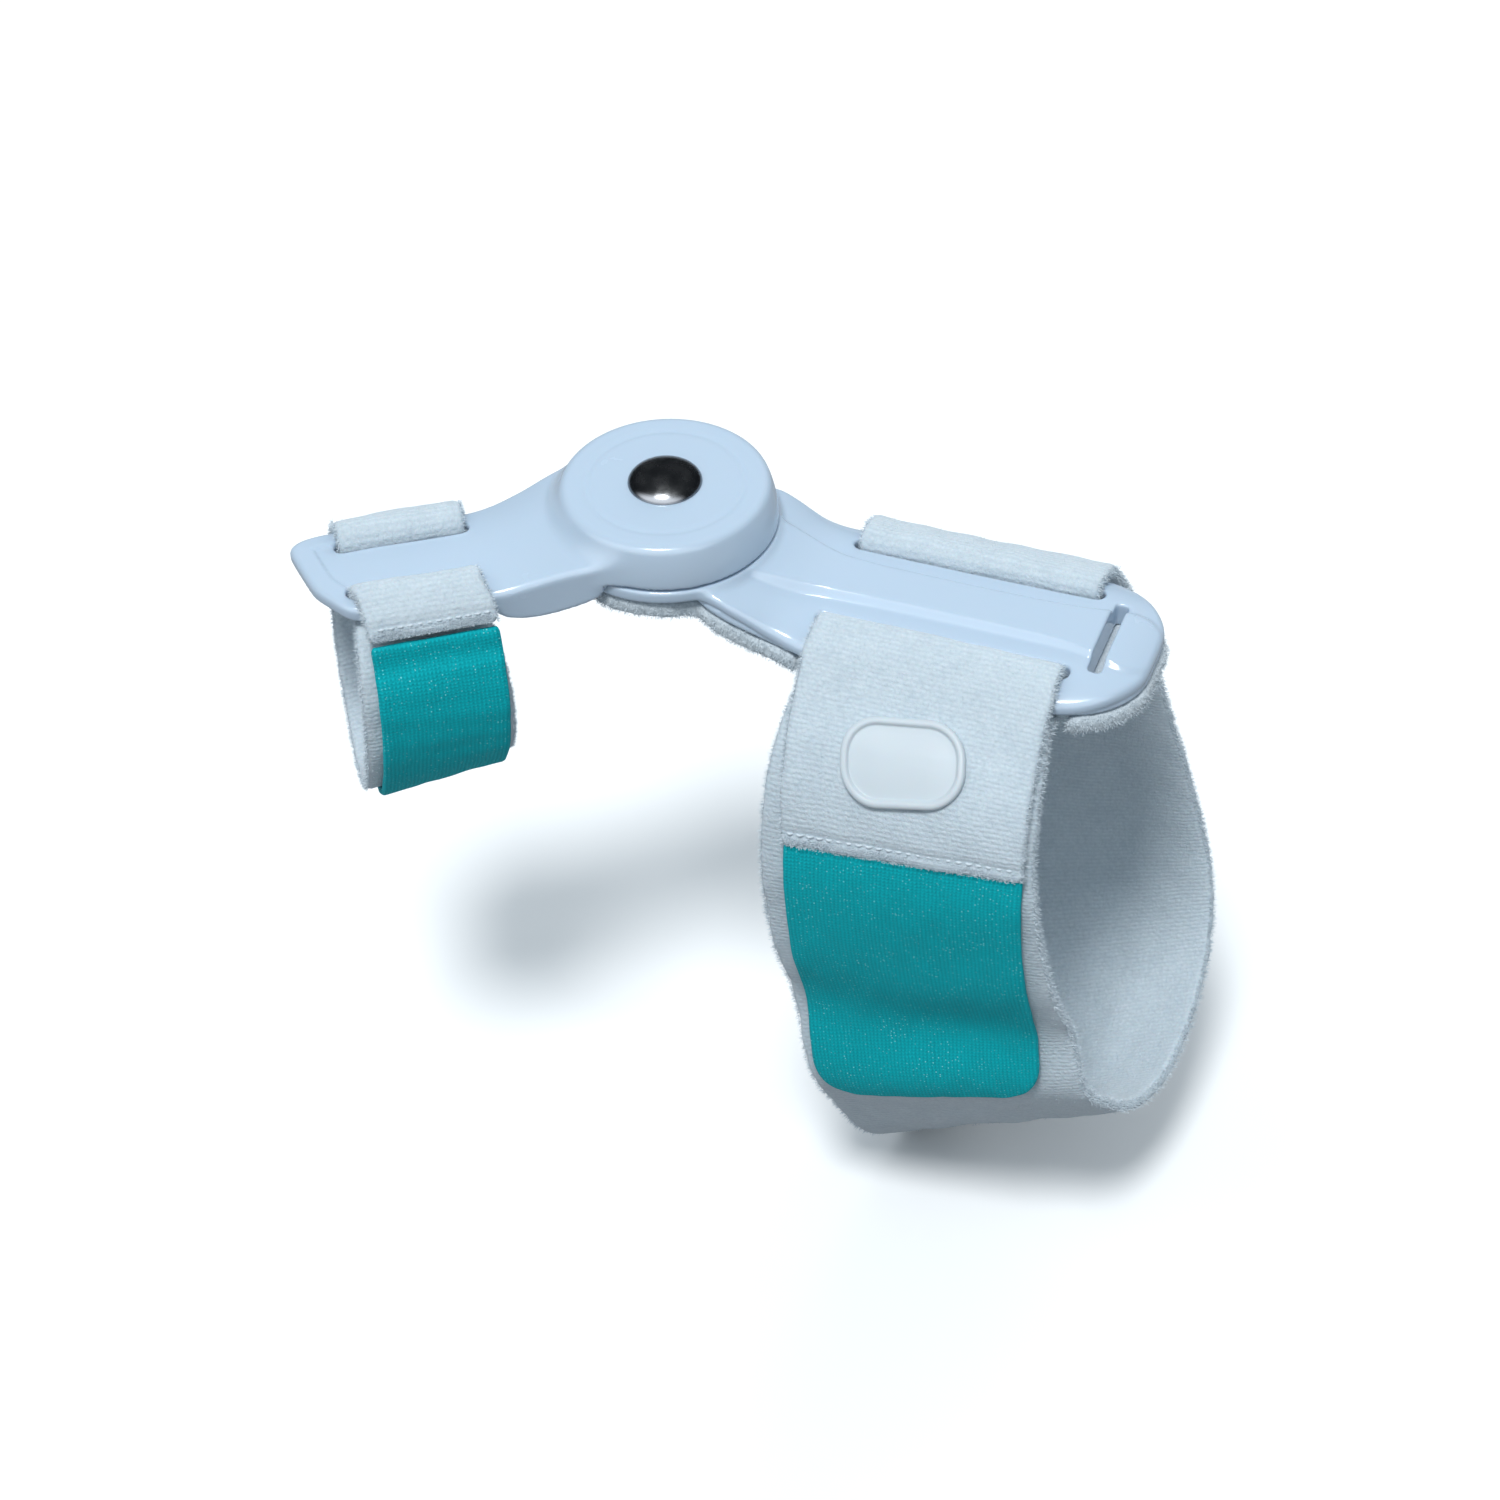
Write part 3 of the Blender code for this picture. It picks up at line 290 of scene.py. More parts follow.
def skinned(name, field, origin, step):
    """A closed mesh round the part of a field that is below zero: one point in each cell that it crosses."""
    solid = field < 0
    count = sum(solid[i:i - 1 or None, j:j - 1 or None, k:k - 1 or None].astype(np.int8)
                for i in (0, 1) for j in (0, 1) for k in (0, 1))
    cells = np.argwhere((count > 0) & (count < 8))
    index = np.full(count.shape, -1, np.int64)
    index[tuple(cells.T)] = np.arange(len(cells))
    total = np.zeros((len(cells), 3))
    crossings = np.zeros(len(cells))
    corners = [np.array((c & 1, c >> 1 & 1, c >> 2 & 1)) for c in range(8)]
    for a in range(8):
        for axis in range(3):
            if corners[a][axis]:
                continue
            first, second = corners[a], corners[a] + np.eye(3, dtype=int)[axis]
            fa, fb = field[tuple((cells + first).T)], field[tuple((cells + second).T)]
            cut = (fa < 0) != (fb < 0)
            t = np.where(cut, fa / np.where(cut, fa - fb, 1), 0)
            total += np.where(cut[:, None], first + t[:, None] * (second - first), 0)
            crossings += cut
    place = cells + total / crossings[:, None]
    slopes = np.gradient(field)
    for _ in range(2):
        slope = np.stack([read_grid(s, place) for s in slopes], axis=1)
        place = place - np.clip(read_grid(field, place) / np.maximum((slope ** 2).sum(axis=1), 1e-9), -0.4, 0.4
                                )[:, None] * slope
    faces = []
    for axis in range(3):
        u, v = (axis + 1) % 3, (axis + 2) % 3
        ahead = np.roll(solid, -1, axis)
        edge = solid != ahead
        for side in range(3):
            ends = [slice(None)] * 3
            ends[side] = slice(-1, None)
            edge[tuple(ends)] = False
            if side != axis:
                ends[side] = slice(0, 1)
                edge[tuple(ends)] = False
        at = np.argwhere(edge)
        quad = []
        for du, dv in ((1, 1), (0, 1), (0, 0), (1, 0)):
            cell = at.copy()
            cell[:, u] -= du
            cell[:, v] -= dv
            quad.append(index[tuple(cell.T)])
        quad = np.stack(quad, axis=1)
        turn = ~solid[tuple(at.T)]
        quad[turn] = quad[turn][:, ::-1]
        faces.append(quad)
    faces = np.concatenate(faces)
    mesh = bpy.data.meshes.new(name)
    mesh.from_pydata((origin + place * step).tolist(), [], faces.tolist())
    mesh.shade_smooth()
    return mesh


def to_row(mesh, turn=0.0, at=(0.0, 0.0, 0.0)):
    """From millimetres about a point of the object to the shared frame in metres."""
    mesh.transform(Matrix.Scale(MM, 4) @ Matrix.Translation(at) @ Matrix.Rotation(turn, 4, "Z"))
    return mesh


def placed(name, mesh, surface, body, slot, *nodes):
    """A piece of the object, in its place, with its finish."""
    made = bpy.data.objects.new(name, mesh)
    bpy.context.scene.collection.objects.link(made)
    mesh.materials.clear()
    mesh.materials.append(surface)
    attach(made, body)
    if nodes:
        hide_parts(*nodes)
    return made


def new_group(name, inputs, outputs):
    """An empty shader node group with named sockets."""
    group = bpy.data.node_groups.new(name, "ShaderNodeTree")
    for label, kind, value in inputs:
        made = group.interface.new_socket(label, in_out="INPUT", socket_type="NodeSocket" + kind)
        if value is not None:
            made.default_value = value
    for label, kind in outputs:
        group.interface.new_socket(label, in_out="OUTPUT", socket_type="NodeSocket" + kind)
    return group, group.nodes.new("NodeGroupInput"), group.nodes.new("NodeGroupOutput")


def add_node(tree, kind, settings=(), values=(), feeds=()):
    """A node with its settings, its sockets' values, and what feeds them."""
    made = tree.nodes.new("ShaderNode" + kind)
    for key, value in dict(settings).items():
        setattr(made, key, value)
    for key, value in dict(values).items():
        made.inputs[key].default_value = value
    for key, source in dict(feeds).items():
        tree.links.new(source, made.inputs[key])
    return made


def moulded_skin():
    """Shared finish of the mouldings: cloudy colour, a faint orange peel, hairline scuffs and smudged gloss."""
    group, given, out = new_group(
        "moulded_skin",
        (("Colour", "Color", (0.8, 0.8, 0.8, 1)), ("Deep Colour", "Color", (0.7, 0.7, 0.7, 1)),
         ("Gloss", "Float", 0.2), ("Scuffs", "Float", 0.3)),
        (("Colour", "Color"), ("Roughness", "Float"), ("Normal", "Vector")))
    place = add_node(group, "TexCoord").outputs["Object"]
    cloud = add_node(group, "TexNoise", values={"Scale": 55.0, "Detail": 3.0}, feeds={"Vector": place})
    tint = add_node(group, "Mix", {"data_type": "RGBA"}, feeds={
        0: cloud.outputs["Fac"], 6: given.outputs["Colour"], 7: given.outputs["Deep Colour"]})
    peel = add_node(group, "TexNoise", values={"Scale": 900.0, "Detail": 2.0}, feeds={"Vector": place})
    stretched = add_node(group, "Mapping", values={"Scale": (2600.0, 300.0, 900.0), "Rotation": (0.2, 0.3, 0.7)},
                         feeds={"Vector": place})
    hairs = add_node(group, "TexNoise", values={"Scale": 1.0, "Detail": 3.0, "Distortion": 0.5},
                     feeds={"Vector": stretched.outputs["Vector"]})
    scuff = add_node(group, "MapRange", values={"From Min": 0.66, "From Max": 0.74}, feeds={
        "Value": hairs.outputs["Fac"]})
    smudge = add_node(group, "TexNoise", values={"Scale": 130.0, "Detail": 4.0}, feeds={"Vector": place})
    marks = add_node(group, "Math", {"operation": "MULTIPLY"}, feeds={
        0: scuff.outputs["Result"], 1: given.outputs["Scuffs"]})
    rough = add_node(group, "MapRange", values={"From Min": 0.3, "From Max": 0.75, "To Min": -0.05, "To Max": 0.09},
                     feeds={"Value": smudge.outputs["Fac"]})
    rough = add_node(group, "Math", {"operation": "ADD"}, feeds={
        0: given.outputs["Gloss"], 1: rough.outputs["Result"]})
    rough = add_node(group, "Math", {"operation": "MULTIPLY_ADD"}, {1: 0.25}, {
        0: marks.outputs["Value"], 2: rough.outputs["Value"]})
    height = add_node(group, "Math", {"operation": "MULTIPLY_ADD"}, {1: -0.4}, {
        0: marks.outputs["Value"], 2: peel.outputs["Fac"]})
    bump = add_node(group, "Bump", values={"Strength": 0.05, "Distance": 0.0002}, feeds={
        "Height": height.outputs["Value"]})
    group.links.new(tint.outputs[2], out.inputs["Colour"])
    group.links.new(rough.outputs["Value"], out.inputs["Roughness"])
    group.links.new(bump.outputs["Normal"], out.inputs["Normal"])
    return group


def surface_from(name, group, values, **constants):
    """A material whose colour, roughness and normal come from a group, and whose constants are its own."""
    made = bpy.data.materials.new(name)
    made.use_nodes = True
    tree = made.node_tree
    shader = tree.nodes["Principled BSDF"]
    for label, value in constants.items():
        shader.inputs[label.replace("_", " ")].default_value = value
    node = tree.nodes.new("ShaderNodeGroup")
    node.node_tree = group
    for label, value in values.items():
        node.inputs[label].default_value = value
    tree.links.new(node.outputs["Colour"], shader.inputs["Base Color"])
    tree.links.new(node.outputs["Roughness"], shader.inputs["Roughness"])
    tree.links.new(node.outputs["Normal"], shader.inputs["Normal"])
    return made


SKIN = moulded_skin()
arm_plastic = surface_from(
    "white_arm_plastic", SKIN,
    {"Colour": (0.50, 0.61, 0.73, 1), "Deep Colour": (0.48, 0.59, 0.71, 1), "Gloss": 0.2, "Scuffs": 0.05},
    Coat_Weight=0.35, Coat_Roughness=0.12, Subsurface_Weight=0.04, Subsurface_Scale=0.002, IOR=1.49)


def toe_arm_mesh():
    slot_start, slot_end, slot_mid, slot_wide = TOE_SLOT
    axes, (x, y, z) = grid_over((-17.6, -17.6, -13.74), (56.4, 17.6, 1.0), GRAIN_STEP)
    flat_x, flat_y = x[:, :, 0], y[:, :, 0]
    near = [(a - s * n, n) for a, n, f, s in TOE_ARM[:, :4]]
    far = [(a + s * f, -f) for a, n, f, s in TOE_ARM[::-1, :4]]
    edge = outline_distance(flat_x, flat_y, soft_outline(near + far, 5, 1.6))
    top = eased(TOE_ARM, 4, flat_x, 2.0)
    fall = eased(TOE_ARM, 5, flat_x, 2.0)
    share = np.clip(1 + edge / 9.6, 0, 1)
    top = top - fall * share ** 1.8
    inner = np.clip((-edge - LIP_WIDE) / 0.7 + 0.5, 0, 1)
    inner = inner * inner * (3 - 2 * inner)
    reach = np.clip((flat_x - 41.0) / 8.0, 0, 1)
    top = top - LIP_HIGH * (inner - 0.3) * reach * reach * (3 - 2 * reach)
    low = eased(TOE_ARM, 6, flat_x, 0.8)
    bar = both((z - top[:, :, None]) / level_of(top, GRAIN_STEP)[:, :, None],
               np.broadcast_to(edge[:, :, None], z.shape), 0.85)
    bar = both(bar, (low[:, :, None] - z) / level_of(low, GRAIN_STEP)[:, :, None], 0.45)
    r = np.hypot(x, y)
    lean = math.hypot(HUB_FOOT_R - HUB_TOP_R, HUB_BAND_HIGH)
    band = ((r - HUB_TOP_R) * HUB_BAND_HIGH + z * (HUB_FOOT_R - HUB_TOP_R)) / lean
    groove = GROOVE_DEEP * np.exp(-((r - GROOVE_R) / GROOVE_HALF) ** 2)
    hub = both(both(band, r - HUB_FOOT_R, 1.2), z + groove, HUB_EDGE)
    hub = both(hub, -HUB_HIGH - z, 0.4)
    body = either(bar, hub, HUB_FILLET)
    body = both(body, -np.maximum(r - RELIEF_R, z + HUB_HIGH - 0.05), 0.2)
    body = both(body, HOLE_R - r, 0.2)
    half = (slot_end - slot_start) / 2
    for side in (-1, 1):
        slot = slot_distance(flat_x, flat_y, (slot_start + half, side * slot_mid), half, slot_wide / 2, slot_wide / 2)
        body = both(body, np.broadcast_to(-slot[:, :, None], z.shape), 0.4)
    origin = np.array([axis[0] for axis in axes])
    return to_row(skinned("short_arm", body, origin, GRAIN_STEP), TOE_TURN, HINGE)


toe_arm = placed("short_arm", toe_arm_mesh(), arm_plastic, "toe_side", "arm_plastic", "toe_arm")

# ---- Long arm
# The second moulding, of the same plastic: a disc that turns under the hub, a neck, and a broad paddle with a raised
# spine, a ledge with two strap slots and sloping rims. A short cross slot lies near its blunt end.
DISC_R, DISC_TOP, DISC_LOW = 16.5, -7.2, -9.4
# Along, half width, spine's half width, spine's top, ledge, fall to the rim, underside.
FOOT_ARM = np.array((
    (0.0, 6.0, 6.0, -7.3, -7.4, 0.1, -9.3), (4.0, 9.0, 6.0, -7.3, -7.45, 0.15, -9.4),
    (9.0, 12.4, 6.4, -7.3, -7.5, 0.2, -10.3), (13.0, 13.5, 6.6, -7.4, -7.8, 0.6, -11.8),
    (16.5, 13.4, 6.3, -7.9, -8.9, 1.3, -13.2), (20.0, 13.1, 5.6, -8.7, -10.2, 2.0, -14.6),
    (23.0, 13.5, 4.9, -9.5, -11.0, 2.2, -15.3), (26.0, 14.1, 4.3, -10.0, -11.35, 2.45, -15.6),
    (32.0, 14.7, 4.0, -10.2, -11.5, 2.5, -15.6), (45.0, 14.9, 3.9, -10.25, -11.55, 2.45, -15.6),
    (58.0, 14.8, 4.0, -10.25, -11.5, 2.5, -15.6), (62.5, 14.5, 4.3, -10.25, -11.4, 2.5, -15.6),
    (65.5, 13.9, 4.8, -10.3, -11.3, 2.4, -15.6), (68.0, 12.8, 5.4, -10.4, -11.25, 2.15, -15.6),
    (70.0, 11.5, 5.9, -10.6, -11.25, 1.85, -15.6), (71.8, 9.7, 5.8, -10.8, -11.3, 1.6, -15.6),
    (73.1, 7.8, 5.2, -11.0, -11.4, 1.5, -15.6), (73.9, 6.2, 4.4, -11.1, -11.4, 1.5, -15.5),
    (74.4, 4.8, 3.4, -11.2, -11.4, 1.5, -15.4),
))
FOOT_SLOT = (26.0, 64.2, 8.75, 2.6)
CROSS_SLOT = (67.3, 15.0, 2.0)
SEAT_X = 45.1
RIM_SEAM_DROP, RIM_SEAM_DEEP = 1.9, 0.32


def foot_arm_mesh():
    slot_start, slot_end, slot_mid, slot_wide = FOOT_SLOT
    axes, (x, y, z) = grid_over((-17.6, -17.6, -16.4), (75.4, 17.6, -6.4), GRAIN_STEP)
    flat_x, flat_y = x[:, :, 0], y[:, :, 0]
    side = [(a, h) for a, h in FOOT_ARM[:, :2]]
    edge = outline_distance(flat_x, flat_y, soft_outline(side + [(a, -h) for a, h in side[::-1]], 5, 4.0))
    spine, crest, ledge, fall = (eased(FOOT_ARM, column, flat_x, 2.2) for column in (2, 3, 4, 5))
    rise = np.clip((spine + 0.75 - np.abs(flat_y)) / 1.5, 0, 1)
    rise = rise * rise * (3 - 2 * rise)
    share = np.clip(1 + edge / 11.0, 0, 1)
    top = ledge + (crest - ledge) * rise - fall * share ** 3.2
    low = eased(FOOT_ARM, 6, flat_x, 1.5)
    rim = edge[:, :, None] + RIM_SEAM_DEEP * np.exp(-((z - top[:, :, None] + RIM_SEAM_DROP) / 0.3) ** 2)
    body = both((z - top[:, :, None]) / level_of(top, GRAIN_STEP)[:, :, None], rim, 0.7)
    body = both(body, (low[:, :, None] - z) / level_of(low, GRAIN_STEP)[:, :, None], 0.5)
    r = np.hypot(x, y)
    disc = both(both(r - DISC_R, z - DISC_TOP, 0.6), DISC_LOW - z, 0.6)
    body = either(body, disc, 1.2)
    body = both(body, np.maximum(z - DISC_TOP, -90.0), 0.15)
    body = both(body, HOLE_R - r, 0.2)
    half = (slot_end - slot_start) / 2
    for sign in (-1, 1):
        slot = slot_distance(flat_x, flat_y, (slot_start + half, sign * slot_mid), half, slot_wide / 2, slot_wide / 2)
        body = both(body, np.broadcast_to(-slot[:, :, None], z.shape), 0.4)
    slot = slot_distance(flat_x, flat_y, (CROSS_SLOT[0], 0.0), CROSS_SLOT[2] / 2, CROSS_SLOT[1] / 2, 0.6)
    body = both(body, np.broadcast_to(-slot[:, :, None], z.shape), 0.3)
    origin = np.array([axis[0] for axis in axes])
    return to_row(skinned("long_arm", body, origin, GRAIN_STEP), 0.0, HINGE)


foot_arm = placed("long_arm", foot_arm_mesh(), arm_plastic, "foot_side", "arm_plastic", "foot_arm")

# ---- Rivet
# A polished steel rivet with a low domed head on the hub and a flat tail in the pad's pocket, turned on a lathe
# and set by a press, which leaves a fine ring where the head's skirt meets the plastic.
RIVET_R, RIVET_HIGH, SHANK_R, TAIL_R, TAIL_THICK = 5.45, 2.1, 2.4, 4.4, 0.9
RIVET_TURNS = 96


def lathed(name, profile, turns):
    """A closed body turned about the hinge, from a profile of radius and height that runs from top to bottom."""
    points = [(0.0, 0.0, profile[0][1])]
    for radius, height in profile[1:-1]:
        for k in range(turns):
            angle = 2 * math.pi * k / turns
            points.append((radius * math.cos(angle), radius * math.sin(angle), height))
    points.append((0.0, 0.0, profile[-1][1]))
    last = len(points) - 1
    faces = []
    for k in range(turns):
        after = (k + 1) % turns
        faces.append((0, 1 + k, 1 + after))
        faces.append((last, last - turns + after, last - turns + k))
        for ring in range(len(profile) - 3):
            a, b = 1 + ring * turns, 1 + (ring + 1) * turns
            faces.append((a + k, b + k, b + after, a + after))
    mesh = bpy.data.meshes.new(name)
    mesh.from_pydata(points, [], faces)
    mesh.shade_smooth()
    mesh.set_sharp_from_angle(angle=math.radians(50))
    return mesh


def rivet_profile():
    profile = [(0.0, RIVET_HIGH)]
    for k in range(1, 23):
        angle = math.radians(90 - 3.9 * k)
        profile.append((RIVET_R * math.cos(angle), RIVET_HIGH * math.sin(angle)))
    profile += [(RIVET_R, 0.08), (RIVET_R - 0.12, 0.02), (SHANK_R, 0.02), (SHANK_R, DISC_LOW - 0.3)]
    profile += [(TAIL_R - 0.2, DISC_LOW - 0.3), (TAIL_R, DISC_LOW - 0.5), (TAIL_R, DISC_LOW - TAIL_THICK)]
    profile += [(TAIL_R - 0.3, DISC_LOW - 0.3 - TAIL_THICK), (0.0, DISC_LOW - 0.3 - TAIL_THICK)]
    return profile


def polished_steel():
    """Polished steel with fine turning rings about the hinge, smudges and painted shade darkening it by the skirt."""
    made = bpy.data.materials.new("polished_steel")
    made.use_nodes = True
    tree = made.node_tree
    shader = tree.nodes["Principled BSDF"]
    shader.inputs["Metallic"].default_value = 1.0
    place = add_node(tree, "TexCoord").outputs["Object"]
    about = add_node(tree, "VectorMath", {"operation": "SUBTRACT"}, {1: (HINGE[0] * MM, 0.0, 0.0)}, {0: place})
    flat = add_node(tree, "VectorMath", {"operation": "MULTIPLY"}, {1: (1.0, 1.0, 0.0)}, {0: about.outputs["Vector"]})
    r = add_node(tree, "VectorMath", {"operation": "LENGTH"}, feeds={0: flat.outputs["Vector"]})
    rings = add_node(tree, "TexNoise", {"noise_dimensions": "1D"}, {"Scale": 9000.0, "Detail": 2.0}, {
        "W": r.outputs["Value"]})
    smudge = add_node(tree, "TexNoise", values={"Scale": 420.0, "Detail": 4.0}, feeds={"Vector": place})
    rough = add_node(tree, "MapRange", values={"From Min": 0.35, "From Max": 0.7, "To Min": 0.2, "To Max": 0.32},
                     feeds={"Value": smudge.outputs["Fac"]})
    # Painted shade: the steel's colour darkens from 3.5 mm out to the skirt, where the head meets the hub.
    skirt_shade = add_node(tree, "MapRange", values={"From Min": 0.0035, "From Max": 0.0054}, feeds={
        "Value": r.outputs["Value"]})
    tint = add_node(tree, "Mix", {"data_type": "RGBA"}, {6: (0.42, 0.43, 0.44, 1), 7: (0.26, 0.27, 0.29, 1)}, {
        0: skirt_shade.outputs["Result"]})
    bump = add_node(tree, "Bump", values={"Strength": 0.06, "Distance": 0.0001}, feeds={
        "Height": rings.outputs["Fac"]})
    tree.links.new(tint.outputs[2], shader.inputs["Base Color"])
    tree.links.new(rough.outputs["Result"], shader.inputs["Roughness"])
    tree.links.new(bump.outputs["Normal"], shader.inputs["Normal"])
    return made


rivet_mesh = to_row(lathed("rivet_steel", rivet_profile(), RIVET_TURNS), 0.0, HINGE)
rivet = placed("rivet_head", rivet_mesh, polished_steel(), "foot_side", "rivet_steel", "rivet")

# ---- Straps
# Soft loop fabric, brushed on both faces, about 1.8 mm thick, woven with fine ribs across its width. Each strap is
# sewn back on itself under the far rim, runs down and round, comes up through the near slot and folds over the rim.
STRAP_THICK = 1.8
ROW_STEP = 0.55
# Along from the middle of the slots, across, height, rulings' rise, half width: from the sewn end round to the tail.
FOOT_COURSE = np.array((
    (0.0, 14.0, -17.1, 0.00, 18.2), (0.0, 11.4, -16.9, 0.00, 18.2), (0.0, 9.6, -16.8, 0.00, 18.2),
    (0.0, 8.85, -16.1, 0.00, 18.2), (0.0, 8.75, -14.0, 0.00, 18.2), (0.0, 8.85, -11.7, 0.00, 18.2),
    (0.0, 9.7, -10.8, 0.00, 18.2), (0.0, 11.7, -11.0, 0.00, 18.3), (0.0, 14.6, -12.2, 0.00, 18.5),
    (0.0, 16.2, -13.5, 0.00, 18.8), (0.0, 17.6, -16.0, 0.00, 19.2), (0.2, 20.6, -22.0, 0.00, 20.0),
    (1.3, 24.0, -33.0, 0.03, 20.8), (3.9, 26.0, -49.0, 0.09, 21.3), (8.4, 25.8, -66.0, 0.20, 21.5),
    (13.5, 23.0, -82.0, 0.36, 21.5), (15.9, 16.4, -94.5, 0.48, 22.4), (16.1, 5.0, -102.6, 0.54, 23.2),
    (14.5, -7.5, -104.6, 0.54, 23.6), (11.3, -18.0, -98.6, 0.47, 23.4), (7.7, -24.8, -84.4, 0.34, 22.4),
    (4.3, -28.6, -67.0, 0.22, 21.7), (1.9, -30.6, -51.0, 0.15, 21.3), (0.7, -31.0, -38.5, 0.12, 20.9),
    (0.1, -28.2, -28.0, 0.06, 20.3), (0.0, -23.0, -21.2, 0.00, 19.6), (0.0, -17.2, -17.7, 0.00, 18.9),
    (0.0, -13.0, -17.0, 0.00, 18.5), (0.0, -9.6, -16.8, 0.00, 18.2), (0.0, -8.85, -16.1, 0.00, 18.2),
    (0.0, -8.75, -14.0, 0.00, 18.2), (0.0, -8.85, -11.7, 0.00, 18.2), (0.0, -9.7, -10.8, 0.00, 18.2),
    (0.0, -11.7, -11.0, 0.00, 18.3), (0.0, -14.8, -12.2, 0.00, 18.5), (0.1, -18.6, -14.9, 0.00, 18.5),
))
FOOT_UNDER = slice(16, 27)
# Layers laid on the loop: distance down it, shift across it, half width.
FOOT_TAIL = np.array(((5.5, 0.4, 18.5), (13.0, 1.1, 18.3), (21.0, 1.5, 18.1)))
TOE_COURSE = np.array((
    (0.0, 8.0, -10.6, 0.00, 9.3), (0.0, 6.6, -10.4, 0.00, 9.3), (0.0, 5.8, -10.3, 0.00, 9.3),
    (0.0, 5.3, -9.3, 0.00, 9.3), (0.0, 5.3, -7.6, 0.00, 9.3), (0.0, 5.5, -5.9, 0.01, 9.3),
    (0.0, 6.6, -4.9, 0.02, 9.4), (0.0, 8.6, -5.2, 0.02, 9.5), (0.0, 10.8, -6.8, 0.01, 9.6),
    (-0.1, 11.9, -9.6, 0.00, 10.0), (-0.2, 13.7, -14.4, -0.01, 10.5), (-0.3, 14.7, -22.0, -0.03, 11.0),
    (-0.1, 12.9, -31.4, -0.08, 11.2), (0.1, 7.6, -39.0, -0.14, 11.2), (0.2, -0.4, -42.2, -0.17, 11.2),
    (0.0, -8.0, -39.3, -0.15, 11.2), (-0.3, -13.0, -31.9, -0.09, 11.2), (-0.5, -14.6, -23.0, -0.03, 11.0),
    (-0.3, -13.3, -15.8, -0.01, 10.5), (-0.1, -10.3, -11.8, 0.00, 9.9), (0.0, -7.4, -10.6, 0.00, 9.3),
    (0.0, -5.8, -10.3, 0.00, 9.3), (0.0, -5.3, -9.3, 0.00, 9.3), (0.0, -5.3, -7.6, 0.00, 9.3),
    (0.0, -5.5, -5.9, 0.01, 9.3), (-0.1, -6.6, -4.9, 0.02, 9.3), (-0.5, -8.7, -5.2, 0.02, 9.3),
    (-1.1, -11.5, -7.0, 0.01, 9.4), (-1.3, -13.1, -9.3, 0.00, 9.4),
))
TOE_UNDER = slice(13, 20)
TOE_SLOTS_MID = 38.5


def course_rows(table, step):
    """A table's rows on a Catmull-Rom curve, a step apart."""
    rows = []
    for k in range(len(table) - 1):
        a, b, c, d = (table[min(max(k + shift, 0), len(table) - 1)] for shift in (-1, 0, 1, 2))
        for t in np.arange(0, 1, step / max(step, np.linalg.norm(c[:3] - b[:3]))):
            rows.append(0.5 * (2 * b + (c - a) * t + (2 * a - 5 * b + 4 * c - d) * t * t
                               + (3 * b - a - 3 * c + d) * t ** 3))
    rows.append(table[-1])
    rows = np.array(rows)
    keep = [0]
    for k in range(1, len(rows)):
        if np.linalg.norm(rows[k, :3] - rows[keep[-1], :3]) > 0.35 * step:
            keep.append(k)
    return rows[keep]


def lengths(rows):
    return np.concatenate([[0.0], np.cumsum(np.linalg.norm(np.diff(rows[:, :3], axis=0), axis=1))])


def directions(rows):
    """For each row: the way along, the ruling, and the face's way out."""
    along = np.gradient(rows[:, :3], axis=0)
    along /= np.linalg.norm(along, axis=1)[:, None]
    ruling = np.stack([np.ones(len(rows)), np.zeros(len(rows)), rows[:, 3]], axis=1)
    ruling /= np.linalg.norm(ruling, axis=1)[:, None]
    out = np.cross(along, ruling)
    return along, ruling, out / np.linalg.norm(out, axis=1)[:, None]


def laid_on(under, marks, shares, lift):
    """Rows of a layer that lies on another, at distances down it."""
    run = lengths(under)
    base = np.stack([np.interp(marks, run, under[:, k]) for k in range(5)], axis=1)
    ruling, out = (np.stack([np.interp(marks, run, way[:, k]) for k in range(3)], axis=1)
                   for way in directions(under)[1:])
    shift = np.interp(marks, shares[:, 0], shares[:, 1])
    base[:, :3] += ruling * shift[:, None] + out * lift
    base[:, 4] = np.interp(marks, shares[:, 0], shares[:, 2])
    return base


def crease(across, down):
    """How far the wide strap stands off its plain course: a crosswise hollow, then a swell below it."""
    hollow = 56.5 + 0.14 * across
    swell = 71.0 + 0.1 * across
    return 2.0 * np.exp(-((down - swell) / 8.0) ** 2) - 1.5 * np.exp(-((down - hollow) / 7.5) ** 2)


def gentle(across, along, seed):
    """Small unevenness of a soft surface, in millimetres, the same at each run."""
    rng = np.random.default_rng(seed)
    total = 0.0
    for size, high in ((9.0, 0.10), (4.1, 0.05), (1.9, 0.03)):
        for _ in range(4):
            a, b = rng.normal(size=2)
            total = total + high * np.sin((a * across + b * along) * 2.2 / size + rng.uniform(0, 6.3))
    return total * 0.6


